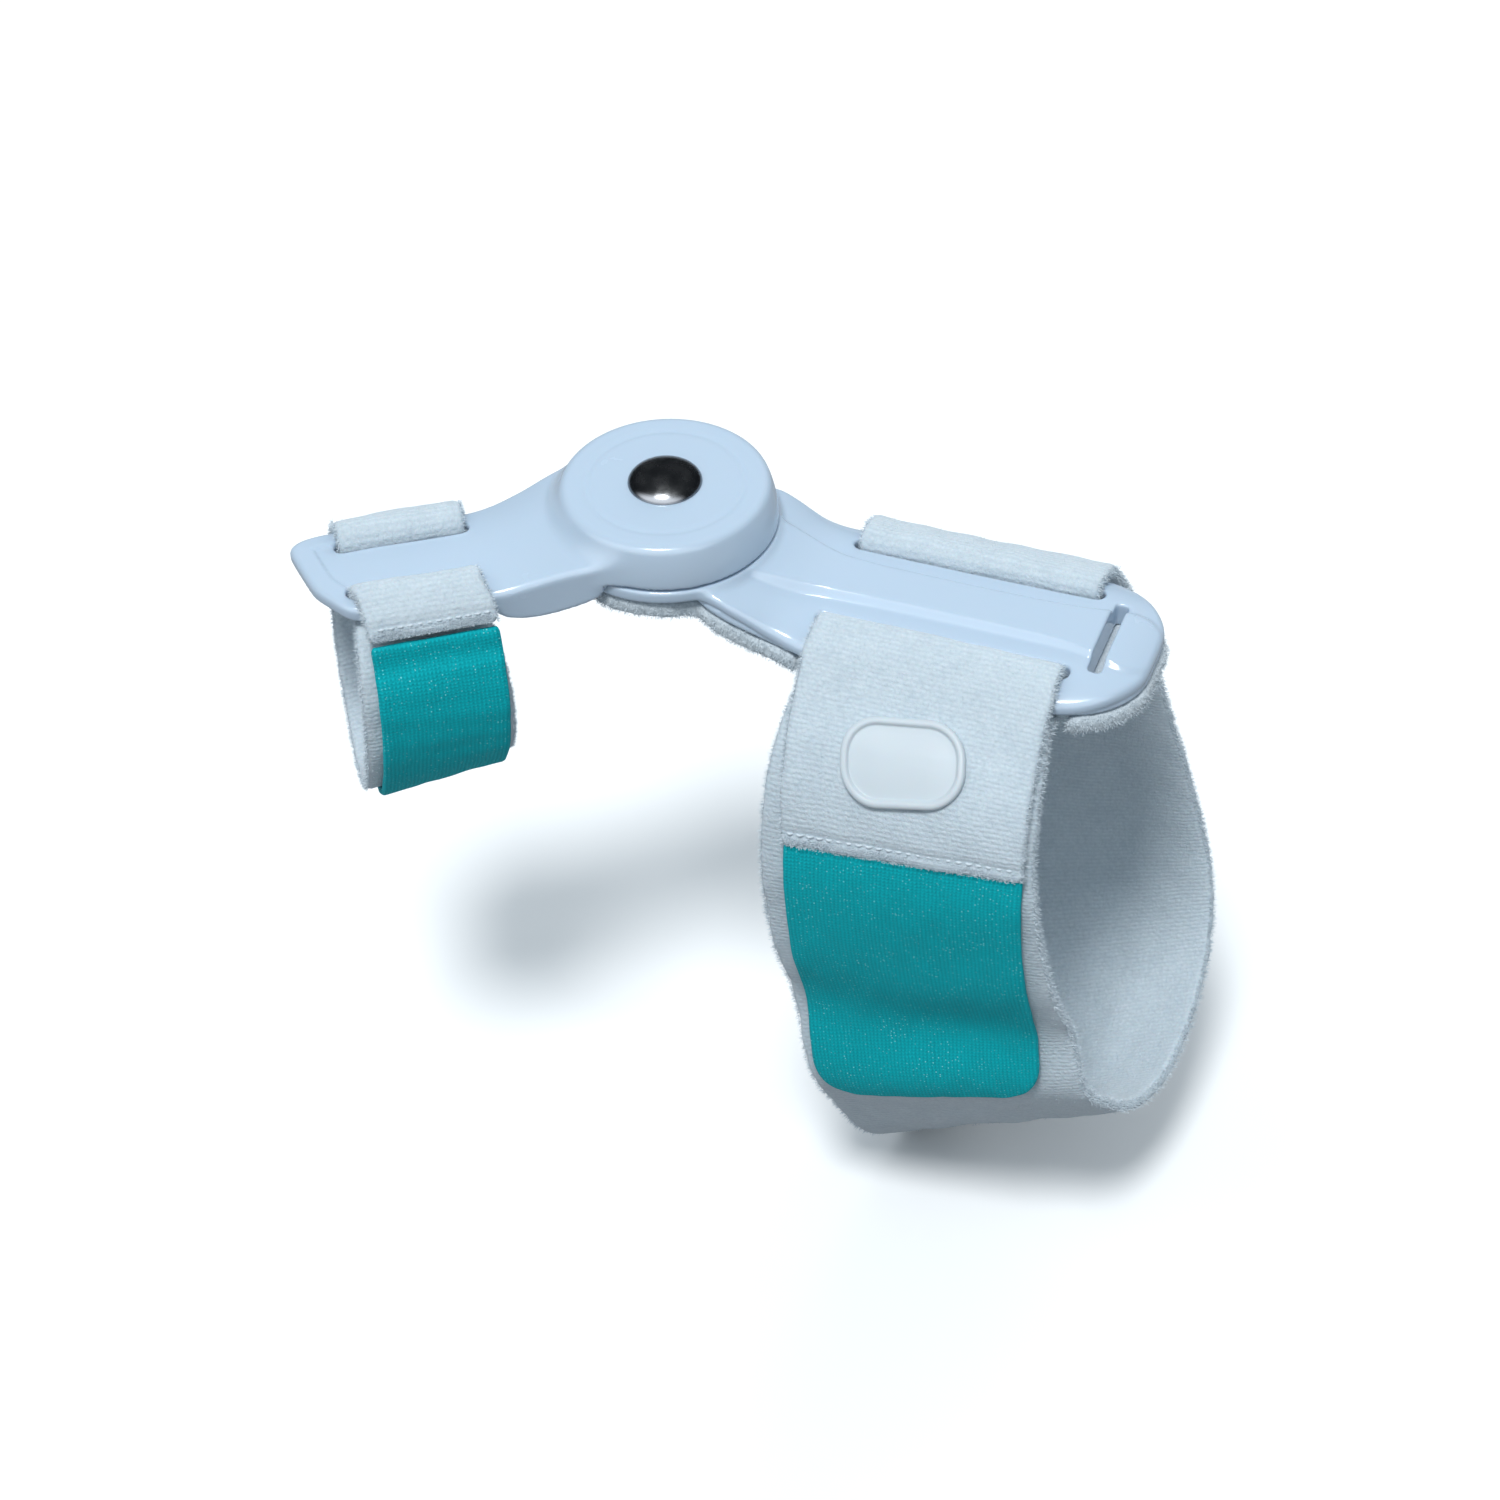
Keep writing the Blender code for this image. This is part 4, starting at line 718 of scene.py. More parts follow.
def band(name, rows, thick, columns, lift=None, relief=None, seed=1, start=0.0, ragged=0.12):
    """A closed, soft-edged band of fabric along its rows, with its cloth's own across and along kept on its points."""
    run = lengths(rows) + start
    along, ruling, out = directions(rows)
    count = len(rows)
    edge = thick / 2
    across, beyond, side = [], [], []
    for k in range(columns + 1):
        across.append(2 * k / columns - 1), beyond.append(0.0), side.append(1.0)
    for k in range(1, 5):
        angle = math.pi * (0.5 - k / 5)
        across.append(1.0), beyond.append(edge * math.cos(angle)), side.append(math.sin(angle))
    for k in range(columns + 1):
        across.append(1 - 2 * k / columns), beyond.append(0.0), side.append(-1.0)
    for k in range(1, 5):
        angle = math.pi * (-0.5 + k / 5)
        across.append(-1.0), beyond.append(-edge * math.cos(angle)), side.append(math.sin(angle))
    across, beyond, side = map(np.array, (across, beyond, side))
    rng = np.random.default_rng(seed)
    wander = np.convolve(rng.normal(size=(count + 8)), np.hanning(9) / 2.5, mode="valid")
    half = rows[:, 4] - edge + ragged * wander[:count]
    taper = np.ones(count)
    for k, share in enumerate((0.45, 0.8)):
        taper[k] = taper[-1 - k] = share
    u = across[None, :] * half[:, None] + beyond[None, :] * taper[:, None]
    v = np.broadcast_to(run[:, None], u.shape)
    n = side[None, :] * edge * taper[:, None] + gentle(u, v + 60 * np.sign(side)[None, :], seed)
    if relief is not None:
        n = n + relief(u, v) * (side[None, :] > 0.5)
    if lift is not None:
        n = n + lift(u, v)
    points = rows[:, None, :3] + u[:, :, None] * ruling[:, None, :] + n[:, :, None] * out[:, None, :]
    ring = len(across)
    first = np.arange(count - 1)[:, None] * ring + np.arange(ring)[None, :]
    second = np.arange(count - 1)[:, None] * ring + (np.arange(ring)[None, :] + 1) % ring
    faces = np.stack([first, second, second + ring, first + ring], axis=2).reshape(-1, 4).tolist()
    faces.append(list(range(ring))[::-1])
    faces.append(list(range((count - 1) * ring, count * ring)))
    mesh = bpy.data.meshes.new(name)
    mesh.from_pydata(points.reshape(-1, 3).tolist(), [], faces)
    mesh.shade_smooth()
    cloth = mesh.attributes.new("cloth", "FLOAT_VECTOR", "POINT")
    cloth.data.foreach_set("vector", np.stack([u, v, n], axis=2).reshape(-1).astype(np.float32))
    return mesh


def fibres(name, roots, ways, seed, long, wide=0.05):
    """Loose fibres: tapered slips with a bend, from roots along their ways, all in one mesh."""
    rng = np.random.default_rng(seed)
    count = len(roots)
    ways = ways + rng.normal(scale=0.45, size=(count, 3))
    ways /= np.linalg.norm(ways, axis=1)[:, None]
    flat = np.cross(ways, rng.normal(size=(count, 3)))
    flat /= np.linalg.norm(flat, axis=1)[:, None]
    droop = np.cross(flat, ways) * rng.uniform(-0.6, 0.6, size=(count, 1))
    reach = long * rng.uniform(0.45, 1.1, size=(count, 1))
    mid = roots + ways * reach * 0.5 + droop * reach * 0.15
    tip = roots + ways * reach * 0.95 + droop * reach * 0.5
    points = np.stack([roots - flat * wide, roots + flat * wide, mid + flat * wide * 0.6, mid - flat * wide * 0.6, tip],
                      axis=1).reshape(-1, 3)
    at = np.arange(count) * 5
    faces = np.stack([at, at + 1, at + 2, at + 3], axis=1).tolist() + np.stack([at + 3, at + 2, at + 4], axis=1).tolist()
    mesh = bpy.data.meshes.new(name)
    mesh.from_pydata(points.tolist(), [], faces)
    return mesh


def edge_roots(rows, thick, per_mm, seed, lift=None, start=0.0):
    """Places along both edges of a band, and the ways out of it, for its loose fibres."""
    rng = np.random.default_rng(seed)
    run = lengths(rows)
    along, ruling, out = directions(rows)
    count = int(run[-1] * per_mm * 2)
    mark = rng.uniform(0, run[-1], count)
    sign = np.where(rng.random(count) < 0.5, -1.0, 1.0)
    centre, ruling, out = (np.stack([np.interp(mark, run, way[:, k]) for k in range(3)], axis=1)
                           for way in (rows[:, :3], ruling, out))
    half = np.interp(mark, run, rows[:, 4])
    height = rng.uniform(-0.5, 0.5, count)
    u = sign * (half - 0.12 - 0.6 * height ** 2)
    n = height * thick * 0.9
    if lift is not None:
        n = n + lift(u, mark + start)
    roots = centre + u[:, None] * ruling + n[:, None] * out
    return roots, sign[:, None] * ruling + (1.1 * height)[:, None] * out


def face_roots(rows, thick, count, seed, lift=None, last=0.0):
    """Places on both faces of a band for its short pile, and their ways out; a last stretch gets as many again."""
    rng = np.random.default_rng(seed)
    run = lengths(rows)
    along, ruling, out = directions(rows)
    mark = np.concatenate([rng.uniform(0, run[-1], count), run[-1] - rng.uniform(0, 1, int(1600 * last)) * last])
    centre, ruling, out = (np.stack([np.interp(mark, run, way[:, k]) for k in range(3)], axis=1)
                           for way in (rows[:, :3], ruling, out))
    side = np.where(rng.random(len(mark)) < 0.35, -1.0, 1.0)
    side[count:] = 1.0
    u = rng.uniform(-1, 1, len(mark)) * (np.interp(mark, run, rows[:, 4]) - 0.7)
    n = side * (thick / 2 - 0.05)
    if lift is not None:
        n = n + lift(u, mark)
    lean = rng.uniform(-1.2, 1.2, (len(mark), 1)) * ruling
    return centre + u[:, None] * ruling + n[:, None] * out, side[:, None] * out * 0.6 + lean


def stitches(name, rows, back, pitch, long, high, lift=None):
    """A row of lockstitch across a band near its end: short arched threads that dip into the cloth."""
    run = lengths(rows)
    mark = run[-1] - back
    along, ruling, out = directions(rows)
    centre, along, ruling, out = (np.array([np.interp(mark, run, way[:, k]) for k in range(3)])
                                  for way in (rows[:, :3], along, ruling, out))
    half = np.interp(mark, run, rows[:, 4]) - 0.8
    points, faces = [], []
    sides, steps = 6, 7
    for start in np.arange(-half, half - long, pitch):
        first = len(points)
        for t in np.linspace(0, 1, steps):
            u = start + long * t
            rise = high + 0.34 * math.sin(math.pi * t) - 0.16
            rise += float(lift(np.array(u), np.array(mark))) if lift is not None else 0.0
            girth = 0.2 * (0.55 + 0.45 * math.sin(math.pi * t))
            for k in range(sides):
                turn = 2 * math.pi * k / sides
                points.append(centre + u * ruling + (rise + girth * math.cos(turn)) * out
                              + girth * math.sin(turn) * along)
        for ring in range(steps - 1):
            for k in range(sides):
                a, b = first + ring * sides + k, first + ring * sides + (k + 1) % sides
                faces.append((a, b, b + sides, a + sides))
        faces.append(tuple(range(first, first + sides))[::-1])
        faces.append(tuple(range(first + (steps - 1) * sides, first + steps * sides)))
    mesh = bpy.data.meshes.new(name)
    mesh.from_pydata([tuple(point) for point in points], [], faces)
    mesh.shade_smooth()
    return mesh


def foot_place(mesh):
    return to_row(mesh, 0.0, (0.0, 0.0, HINGE[2]))


def toe_place(mesh):
    """The short arm's side is measured with its far side at +Y, so it is mirrored and turned into place."""
    mesh.transform(Matrix.Translation((TOE_SLOTS_MID, 0.0, 0.0)))
    mesh.transform(Matrix.Diagonal((1.0, -1.0, 1.0, 1.0)))
    mesh.flip_normals()
    return to_row(mesh, TOE_TURN, HINGE)


def brushed_loop():
    """Shared finish of loop fabric and fleece: ribs across the cloth, a matted nap, and painted shade in the valleys.
    """
    group, given, out = new_group(
        "brushed_loop",
        (("Colour", "Color", (0.8, 0.8, 0.8, 1)), ("Valley Colour", "Color", (0.6, 0.6, 0.6, 1)),
         ("Rib Size", "Float", 0.72), ("Rib Depth", "Float", 0.5), ("Nap Size", "Float", 1.0),
         ("Depth", "Float", 0.6)),
        (("Colour", "Color"), ("Roughness", "Float"), ("Normal", "Vector")))
    cloth = add_node(group, "Attribute", {"attribute_name": "cloth"}).outputs["Vector"]
    place = add_node(group, "TexCoord").outputs["Object"]
    parted = add_node(group, "SeparateXYZ", feeds={0: cloth})
    wobble = add_node(group, "TexNoise", values={"Scale": 0.3, "Detail": 3.0}, feeds={"Vector": cloth})
    bent = add_node(group, "Math", {"operation": "MULTIPLY_ADD"}, {1: 0.45}, {
        0: wobble.outputs["Fac"], 2: parted.outputs["Y"]})
    turns = add_node(group, "Math", {"operation": "DIVIDE"}, feeds={0: bent.outputs[0], 1: given.outputs["Rib Size"]})
    angle = add_node(group, "Math", {"operation": "MULTIPLY"}, {1: 2 * math.pi}, {0: turns.outputs[0]})
    wave = add_node(group, "Math", {"operation": "SINE"}, feeds={0: angle.outputs[0]})
    rib = add_node(group, "MapRange", values={"From Min": -1.0, "From Max": 1.0}, feeds={"Value": wave.outputs[0]})
    scale = add_node(group, "Math", {"operation": "DIVIDE"}, {0: 2600.0}, {1: given.outputs["Nap Size"]})
    nap = add_node(group, "TexNoise", values={"Detail": 5.0, "Roughness": 0.65}, feeds={
        "Vector": place, "Scale": scale.outputs[0]})
    tufts = add_node(group, "TexVoronoi", values={"Scale": 1500.0}, feeds={"Vector": place})
    tuft = add_node(group, "Math", {"operation": "MULTIPLY_ADD"}, {1: -0.5}, {
        0: tufts.outputs["Distance"], 2: nap.outputs["Fac"]})
    ribbed = add_node(group, "Math", {"operation": "MULTIPLY"}, feeds={
        0: rib.outputs["Result"], 1: given.outputs["Rib Depth"]})
    height = add_node(group, "Math", {"operation": "MULTIPLY_ADD"}, {1: 0.9}, {
        0: tuft.outputs[0], 2: ribbed.outputs[0]})
    bump = add_node(group, "Bump", values={"Distance": 0.0003}, feeds={
        "Height": height.outputs[0], "Strength": given.outputs["Depth"]})
    matted = add_node(group, "TexNoise", values={"Scale": 260.0, "Detail": 4.0}, feeds={"Vector": place})
    # Painted shade: the colour goes to the shaded valley colour in rib and tuft hollows; the matted noise is the nap's
    # own uneven tone.
    valley_shade_and_matting = add_node(group, "Math", {"operation": "MULTIPLY_ADD"}, {1: 0.55}, {
        0: matted.outputs["Fac"], 2: height.outputs[0]})
    fac = add_node(group, "MapRange", values={"From Min": 0.3, "From Max": 1.15}, feeds={"Value": valley_shade_and_matting.outputs[0]})
    tint = add_node(group, "Mix", {"data_type": "RGBA"}, feeds={
        0: fac.outputs["Result"], 6: given.outputs["Valley Colour"], 7: given.outputs["Colour"]})
    rough = add_node(group, "MapRange", values={"To Min": 0.95, "To Max": 0.82}, feeds={"Value": fac.outputs["Result"]})
    group.links.new(tint.outputs[2], out.inputs["Colour"])
    group.links.new(rough.outputs["Result"], out.inputs["Roughness"])
    group.links.new(bump.outputs["Normal"], out.inputs["Normal"])
    return group


LOOP = brushed_loop()
strap_fabric = surface_from(
    "white_loop_fabric", LOOP,
    {"Colour": (0.66, 0.74, 0.79, 1), "Valley Colour": (0.50, 0.58, 0.64, 1), "Rib Size": 0.72, "Rib Depth": 0.2,
     "Nap Size": 1.0, "Depth": 0.7},
    Sheen_Weight=0.3, Sheen_Roughness=0.5, Specular_IOR_Level=0.15, Subsurface_Weight=0.06, Subsurface_Scale=0.001)
loose_fibre = surface_from(
    "loose_white_fibre", LOOP,
    {"Colour": (0.72, 0.79, 0.84, 1), "Valley Colour": (0.60, 0.67, 0.72, 1), "Rib Size": 1.0, "Rib Depth": 0.0,
     "Nap Size": 1.0, "Depth": 0.0},
    Sheen_Weight=0.4, Sheen_Roughness=0.5, Specular_IOR_Level=0.1)

foot_rows = course_rows(FOOT_COURSE, ROW_STEP)
foot_under = course_rows(FOOT_COURSE[FOOT_UNDER], ROW_STEP)[::-1]
foot_loop_end = lengths(course_rows(FOOT_COURSE[:FOOT_UNDER.stop], ROW_STEP))[-1]
TAIL_LIFT = STRAP_THICK + 0.3
tail_marks = np.linspace(5.5, 21.2, 30)
foot_tail = laid_on(foot_under, tail_marks, FOOT_TAIL, TAIL_LIFT)
foot_all = np.concatenate([foot_rows, foot_tail])
foot_length = lengths(foot_all)
tail_begins = foot_length[len(foot_rows)] - tail_marks[0]


def foot_lift(across, along):
    """The crease of the wide strap's own layers, below the near rim and again on its tail."""
    down = foot_loop_end - along
    return np.where(along < foot_loop_end + 2, -crease(across, down), 0.0)


def foot_relief(across, along):
    """The sewn end of the tail: a stitched furrow, then a puffed lip at the tab's edge."""
    left = foot_length[-1] - along
    return 0.08 * np.exp(-((left - 0.5) / 0.5) ** 2) - 0.38 * np.exp(-((left - 1.9) / 0.55) ** 2)


foot_strap = placed(
    "foot_strap_web", foot_place(band("foot_strap_web", foot_all, STRAP_THICK, 26, foot_lift, foot_relief, seed=3)),
    strap_fabric, "foot_side", "strap_fabric", "foot_strap")
foot_fuzz = placed(
    "foot_strap_fuzz",
    foot_place(fibres("foot_strap_fuzz", *edge_roots(foot_all, STRAP_THICK, 34, 5, foot_lift), seed=6, long=0.95)),
    loose_fibre, "foot_side", "strap_fabric")

foot_nap = placed(
    "foot_strap_nap",
    foot_place(fibres("foot_strap_nap", *face_roots(foot_all, STRAP_THICK, 16000, 31, foot_lift, 1.6), seed=32,
                      long=0.42)),
    loose_fibre, "foot_side", "strap_fabric")
foot_seam = placed(
    "foot_seam", foot_place(stitches("foot_seam", foot_all, 1.9, 1.5, 1.15, STRAP_THICK / 2 - 0.34)), loose_fibre,
    "foot_side", "strap_fabric")

toe_rows = course_rows(TOE_COURSE, ROW_STEP)
toe_length = lengths(toe_rows)


def toe_relief(across, along):
    left = toe_length[-1] - along
    return 0.07 * np.exp(-((left - 0.45) / 0.45) ** 2) - 0.32 * np.exp(-((left - 1.6) / 0.5) ** 2)


toe_strap = placed(
    "toe_strap_web", toe_place(band("toe_strap_web", toe_rows, STRAP_THICK, 16, None, toe_relief, seed=8)),
    strap_fabric, "toe_side", "strap_fabric", "toe_strap")
toe_fuzz = placed(
    "toe_strap_fuzz",
    toe_place(fibres("toe_strap_fuzz", *edge_roots(toe_rows, STRAP_THICK, 34, 9), seed=10, long=0.8)),
    loose_fibre, "toe_side", "strap_fabric")

toe_nap = placed(
    "toe_strap_nap",
    toe_place(fibres("toe_strap_nap", *face_roots(toe_rows, STRAP_THICK, 5000, 33, None, 1.4), seed=34, long=0.4)),
    loose_fibre, "toe_side", "strap_fabric")
toe_seam = placed(
    "toe_seam", toe_place(stitches("toe_seam", toe_rows, 1.6, 1.4, 1.05, STRAP_THICK / 2 - 0.28)), loose_fibre,
    "toe_side", "strap_fabric")

# ---- Tabs
# Turquoise hook tape, knitted in columns along the strap and sewn to the end of each tail. Its hooks hold the brushed
# strap under it, its free end is cut round, and painted glints stand in for light caught by stray filaments.
TAB_THICK = 1.2
FOOT_TAB = np.array(((21.0, 1.5, 18.1), (35.0, 0.7, 18.1), (50.0, -0.4, 18.2), (71.0, -2.4, 18.4)))
FOOT_TAB_CORNER = 6.5
TOE_TAB = np.array(((3.4, -1.2, 9.4), (10.0, -0.9, 9.5), (36.5, -0.1, 9.6)))
TOE_TAB_BUTT = (0.0, -0.35, -0.75, 0.0, 0.0)
TOE_TAB_CORNER = 4.0
TAB_LIFT = (STRAP_THICK + TAB_THICK) / 2 + 0.3


def tab_rows(under, shares, corner):
    """A tab's rows down the strap under it, with its free end cut round."""
    start, end = shares[0, 0], shares[-1, 0]
    marks = np.arange(start, end - corner, ROW_STEP)
    marks = np.concatenate([marks, end - corner * (1 - np.sin(np.linspace(0, math.pi / 2, 22)))])
    rows = laid_on(under, marks, shares, TAB_LIFT)
    reach = np.clip((marks - (end - corner)) / corner, 0, 1)
    rows[:, 4] -= 0.97 * corner * (1 - np.sqrt(1 - reach * reach))
    return rows, start


def knit_columns():
    """Finish of the hook tape: knitted stitch columns, painted shade in the valleys, and painted glints on stray hooks.
    """
    group, given, out = new_group(
        "knit_columns",
        (("Colour", "Color", (0.0, 0.4, 0.4, 1)), ("Valley Colour", "Color", (0.0, 0.2, 0.2, 1)),
         ("Hook Colour", "Color", (0.5, 0.8, 0.8, 1)), ("Column Size", "Float", 0.6), ("Stitch Size", "Float", 0.5)),
        (("Colour", "Color"), ("Roughness", "Float"), ("Normal", "Vector")))
    cloth = add_node(group, "Attribute", {"attribute_name": "cloth"}).outputs["Vector"]
    wobble = add_node(group, "TexNoise", values={"Scale": 0.5, "Detail": 2.0}, feeds={"Vector": cloth})
    parted = add_node(group, "SeparateXYZ", feeds={0: cloth})

    def waves(axis, label, shift):
        bent = add_node(group, "Math", {"operation": "MULTIPLY_ADD"}, {1: shift}, {
            0: wobble.outputs["Fac"], 2: parted.outputs[axis]})
        turns = add_node(group, "Math", {"operation": "DIVIDE"}, feeds={0: bent.outputs[0], 1: given.outputs[label]})
        return turns

    columns = waves("X", "Column Size", 0.35)
    angle = add_node(group, "Math", {"operation": "MULTIPLY"}, {1: 2 * math.pi}, {0: columns.outputs[0]})
    column = add_node(group, "Math", {"operation": "COSINE"}, feeds={0: angle.outputs[0]})
    nearest = add_node(group, "Math", {"operation": "PINGPONG"}, {1: 0.5}, {0: columns.outputs[0]})
    stitches = waves("Y", "Stitch Size", 0.5)
    leaning = add_node(group, "Math", {"operation": "ADD"}, feeds={0: stitches.outputs[0], 1: nearest.outputs[0]})
    angle = add_node(group, "Math", {"operation": "MULTIPLY"}, {1: 2 * math.pi}, {0: leaning.outputs[0]})
    stitch = add_node(group, "Math", {"operation": "SINE"}, feeds={0: angle.outputs[0]})
    knit = add_node(group, "Math", {"operation": "MULTIPLY_ADD"}, {1: 0.8}, {
        0: stitch.outputs[0], 2: column.outputs[0]})
    fluff = add_node(group, "TexNoise", values={"Scale": 2.6, "Detail": 5.0, "Roughness": 0.7}, feeds={
        "Vector": cloth})
    height = add_node(group, "Math", {"operation": "MULTIPLY_ADD"}, {1: 5.0}, {
        0: fluff.outputs["Fac"], 2: knit.outputs[0]})
    # Painted shade: the colour darkens towards the shaded valley colour where the knit's stitches, columns and fluff
    # dip.
    fac = add_node(group, "MapRange", values={"From Min": -0.6, "From Max": 5.2}, feeds={"Value": height.outputs[0]})
    # Painted glints: rare light specks in the tape's colour where stray hooks would catch the light, stronger in some
    # patches.
    spots = add_node(group, "TexVoronoi", {"feature": "F1"}, {"Scale": 1.9, "Randomness": 1.0}, {"Vector": cloth})
    picked = add_node(group, "SeparateColor", feeds={0: spots.outputs["Color"]})
    rare = add_node(group, "MapRange", values={"From Min": 0.5, "From Max": 0.6}, feeds={"Value": picked.outputs[0]})
    near = add_node(group, "MapRange", values={"From Min": 0.26, "From Max": 0.12}, feeds={
        "Value": spots.outputs["Distance"]})
    painted_glint = add_node(group, "Math", {"operation": "MULTIPLY"}, feeds={0: rare.outputs[0], 1: near.outputs[0]})
    glint_spread = add_node(group, "TexNoise", values={"Scale": 0.12, "Detail": 3.0}, feeds={"Vector": cloth})
    some = add_node(group, "MapRange", values={"From Min": 0.35, "From Max": 0.65, "To Min": 0.25, "To Max": 0.9},
                    feeds={"Value": glint_spread.outputs["Fac"]})
    painted_glint = add_node(group, "Math", {"operation": "MULTIPLY"}, feeds={0: painted_glint.outputs[0], 1: some.outputs[0]})
    tint = add_node(group, "Mix", {"data_type": "RGBA"}, feeds={
        0: fac.outputs["Result"], 6: given.outputs["Valley Colour"], 7: given.outputs["Colour"]})
    tint = add_node(group, "Mix", {"data_type": "RGBA"}, feeds={
        0: painted_glint.outputs[0], 6: tint.outputs[2], 7: given.outputs["Hook Colour"]})
    rough = add_node(group, "MapRange", values={"To Min": 0.85, "To Max": 0.6}, feeds={"Value": fac.outputs["Result"]})
    bump = add_node(group, "Bump", values={"Strength": 0.5, "Distance": 0.00008}, feeds={"Height": height.outputs[0]})
    group.links.new(tint.outputs[2], out.inputs["Colour"])
    group.links.new(rough.outputs["Result"], out.inputs["Roughness"])
    group.links.new(bump.outputs["Normal"], out.inputs["Normal"])
    return group


KNIT = knit_columns()
hook_tape = surface_from(
    "turquoise_hook_tape", KNIT,
    {"Colour": (0.0, 0.52, 0.58, 1), "Valley Colour": (0.0, 0.28, 0.325, 1), "Hook Colour": (0.3, 0.85, 0.85, 1),
     "Column Size": 0.6, "Stitch Size": 0.55},
    Sheen_Weight=0.02, Sheen_Roughness=0.4, Specular_IOR_Level=0.15)

foot_tab_rows, foot_tab_start = tab_rows(foot_under, FOOT_TAB, FOOT_TAB_CORNER)
foot_tab = placed(
    "foot_tab", foot_place(band("foot_tab", foot_tab_rows, TAB_THICK, 44, crease, None, seed=12,
                                start=foot_tab_start, ragged=0.03)),
    hook_tape, "foot_side", "tab_fabric", "foot_strap_tab")
toe_under = course_rows(TOE_COURSE[TOE_UNDER], ROW_STEP)[::-1]
toe_tab_rows, toe_tab_start = tab_rows(toe_under, TOE_TAB, TOE_TAB_CORNER)
butt = course_rows(np.stack([toe_rows[-1] + TOE_TAB_BUTT, toe_tab_rows[0], toe_tab_rows[3]]), ROW_STEP)
toe_tab_rows = np.concatenate([butt[:-1], toe_tab_rows[3:]])
toe_tab = placed(
    "toe_tab", toe_place(band("toe_tab", toe_tab_rows, TAB_THICK, 26, None, None, seed=14, start=toe_tab_start,
                              ragged=0.03)),
    hook_tape, "toe_side", "tab_fabric", "toe_strap_tab")

# ---- Pad
# White fleece on thin foam, die-cut to the long arm's outline, notched where the wide strap leaves its slots, and
# glued under the arm, so its pile shows all round the arm's edge.
PAD_THICK = 3.0
PAD_STEP = 0.42
PAD_NOTCH = (24.8, 65.4, 6.9)
PAD_DISC = ((-15.8, 3.1), (-14.9, 5.9), (-12.1, 10.4), (-7.9, 13.6), (-3.0, 15.6), (1.0, 15.9), (5.0, 14.8))
PILE = 0.3


def pad_outline():
    side = list(PAD_DISC)
    start, end, narrow = PAD_NOTCH
    rows = [(a, h - 0.1) for a, h in FOOT_ARM[2:, :2]]
    side += [row for row in rows if row[0] < start - 0.3]
    side += [(start - 0.3, np.interp(start, *zip(*rows))), (start, narrow)]
    side += [(a, narrow) for a in np.arange(start + 2, end - 1, 4.0)]
    side += [(end, narrow), (end + 0.3, np.interp(end, *zip(*rows)))]
    side += [row for row in rows if row[0] > end + 0.3]
    return side


def pad_mesh():
    axes, (x, y, z) = grid_over((-17.6, -17.6, -20.2), (76.2, 17.6, -8.6), PAD_STEP)
    flat_x, flat_y = x[:, :, 0], y[:, :, 0]
    side = pad_outline()
    edge = outline_distance(flat_x, flat_y, np.array(side + [(a, -h) for a, h in side[::-1]])) - PILE
    top = eased(FOOT_ARM, 6, flat_x, 1.5) - 0.3
    mid = (z - top[:, :, None]) / level_of(top, PAD_STEP)[:, :, None]
    body = both(mid, -PAD_THICK - mid, 1.2)
    body = both(body, np.broadcast_to(edge[:, :, None], z.shape), 1.2)
    r = np.hypot(x, y)
    body = both(body, -np.maximum(r - 5.0, -11.2 - z), 0.3)
    origin = np.array([axis[0] for axis in axes])
    return skinned("pad_fleece", body, origin, PAD_STEP)


pad_fleece = surface_from(
    "white_fleece", LOOP,
    {"Colour": (0.80, 0.87, 0.91, 1), "Valley Colour": (0.56, 0.63, 0.68, 1), "Rib Size": 1.0, "Rib Depth": 0.0,
     "Nap Size": 1.5, "Depth": 1.0},
    Sheen_Weight=0.5, Sheen_Roughness=0.5, Specular_IOR_Level=0.1)


def fleece(mesh, seed):
    """Tufts the pad's faces a little, and gives the places and ways of its pile."""
    count = len(mesh.vertices)
    points = np.empty(count * 3)
    mesh.vertices.foreach_get("co", points)
    points = points.reshape(-1, 3)
    normals = np.array([v.normal for v in mesh.vertices])
    rough = sum(np.sin(points @ np.random.default_rng(seed + k).normal(size=3) * 1.9 + k) for k in range(9)) / 9
    points = points + normals * (0.22 * rough)[:, None]
    mesh.vertices.foreach_set("co", points.reshape(-1))
    rng = np.random.default_rng(seed)
    rims = np.flatnonzero(np.abs(normals[:, 2]) < 0.8)
    picked = np.concatenate([rng.choice(rims, 15000), rng.choice(count, 9000)])
    roots = points[picked] + rng.normal(scale=0.15, size=(len(picked), 3)) - 0.1 * normals[picked]
    return roots, normals[picked]


pad_body = pad_mesh()
pile_roots, pile_ways = fleece(pad_body, 21)
pad = placed("pad_fleece", to_row(pad_body, 0.0, HINGE), pad_fleece, "foot_side", "pad_fleece", "foot_pad")
pile = placed("pad_pile", to_row(fibres("pad_pile", pile_roots, pile_ways, 22, 0.75), 0.0, HINGE), loose_fibre,
              "foot_side", "pad_fleece")

# ---- Badge
# A small capsule of soft white vinyl, cast with a raised rim round a plain field and welded to the wide strap's tail.
# It bends with the strap.
BADGE_LONG, BADGE_HIGH, BADGE_THICK, BADGE_TURN = 18.4, 12.4, 1.15, math.radians(8.0)
BADGE_ALONG, BADGE_ACROSS = 13.2, -0.6
BADGE_RIM = 1.35
BADGE_CORNER = 5.6
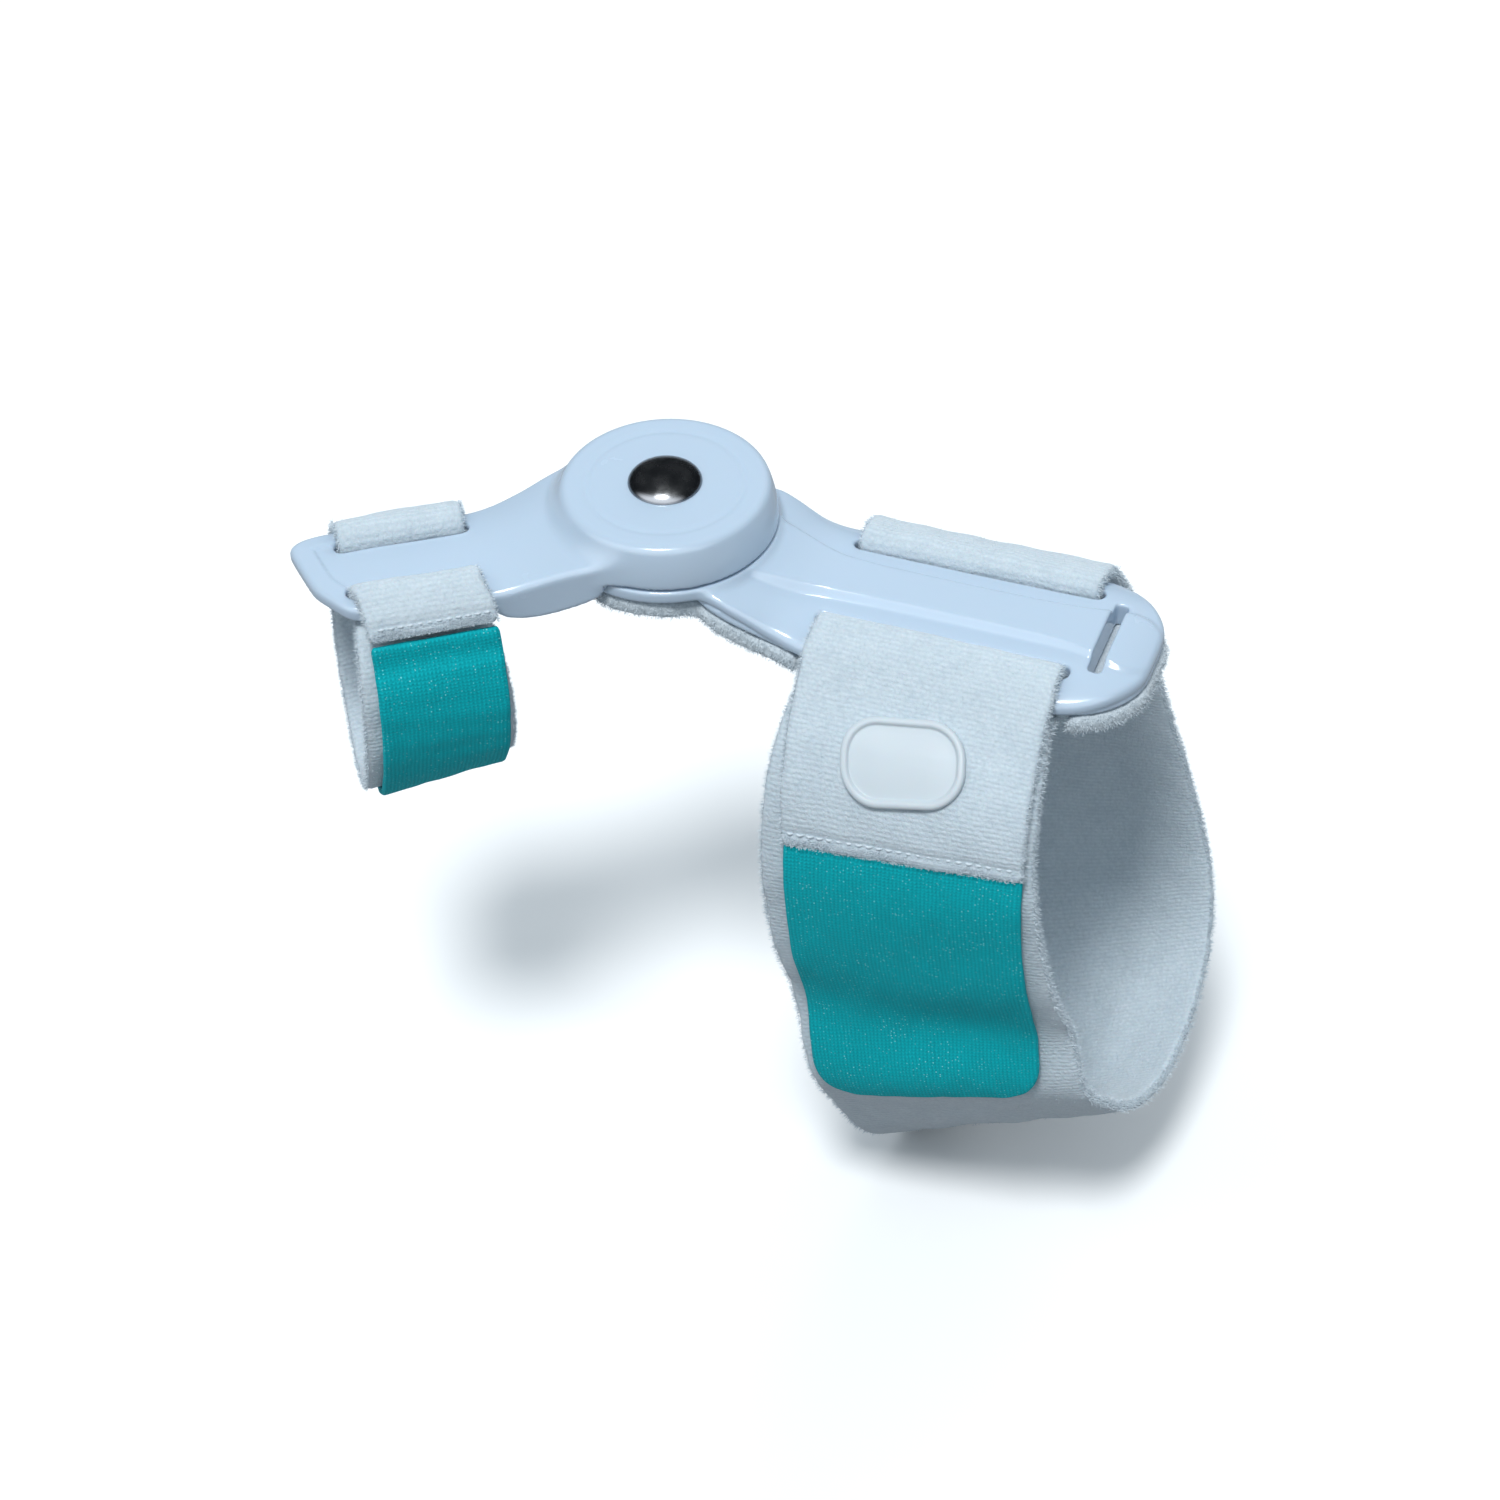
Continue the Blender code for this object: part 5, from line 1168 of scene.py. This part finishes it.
# Inset from the edge and height above the strap, from the back round the rim to the middle of the field.
BADGE_PROFILE = ((0.5, 0.0), (0.05, 0.02), (0.0, 0.2), (0.0, 0.62), (0.06, 0.86), (0.2, 1.03), (0.42, 1.13),
                 (0.68, 1.15), (0.92, 1.1), (1.1, 0.94), (1.2, 0.74), (1.3, 0.62), (1.5, 0.6), (2.4, 0.63),
                 (3.6, 0.66), (4.8, 0.68), (5.5, 0.69))


def badge_mesh():
    from_rim = course_rows(FOOT_COURSE[-2:], 0.4)
    top = np.concatenate([from_rim, laid_on(foot_under, np.linspace(5.5, 21.0, 40), FOOT_TAIL, TAIL_LIFT)])
    run = lengths(top)
    way, ruling, out = directions(top)
    count = 112
    points = []
    for inset, height in BADGE_PROFILE:
        for k in range(count):
            angle = 2 * math.pi * (k + 0.5) / count
            a = math.copysign(BADGE_LONG / 2 - BADGE_CORNER, math.cos(angle)) + (BADGE_CORNER - inset) * math.cos(angle)
            b = math.copysign(BADGE_HIGH / 2 - BADGE_CORNER, math.sin(angle)) + (BADGE_CORNER - inset) * math.sin(angle)
            u = BADGE_ACROSS + a * math.cos(BADGE_TURN) - b * math.sin(BADGE_TURN)
            v = BADGE_ALONG - a * math.sin(BADGE_TURN) - b * math.cos(BADGE_TURN)
            base, across, normal = (np.array([np.interp(v, run, field[:, c]) for c in range(3)])
                                    for field in (top[:, :3], ruling, out))
            points.append(base + across * u + normal * (STRAP_THICK / 2 + height))
    faces = []
    for ring in range(len(BADGE_PROFILE) - 1):
        for k in range(count):
            after = (k + 1) % count
            faces.append((ring * count + k, ring * count + after, (ring + 1) * count + after, (ring + 1) * count + k))
    faces.append(tuple(range(count))[::-1])
    faces.append(tuple(range((len(BADGE_PROFILE) - 1) * count, len(BADGE_PROFILE) * count)))
    mesh = bpy.data.meshes.new("badge_vinyl")
    mesh.from_pydata([tuple(p) for p in points], [], faces)
    mesh.shade_smooth()
    return mesh


badge_vinyl = surface_from(
    "soft_white_vinyl", SKIN,
    {"Colour": (0.57, 0.63, 0.67, 1), "Deep Colour": (0.55, 0.61, 0.65, 1), "Gloss": 0.42, "Scuffs": 0.1},
    Subsurface_Weight=0.12, Subsurface_Scale=0.0015, IOR=1.46)
badge = placed("badge_vinyl", foot_place(badge_mesh()), badge_vinyl, "foot_side", "badge_vinyl", "badge")
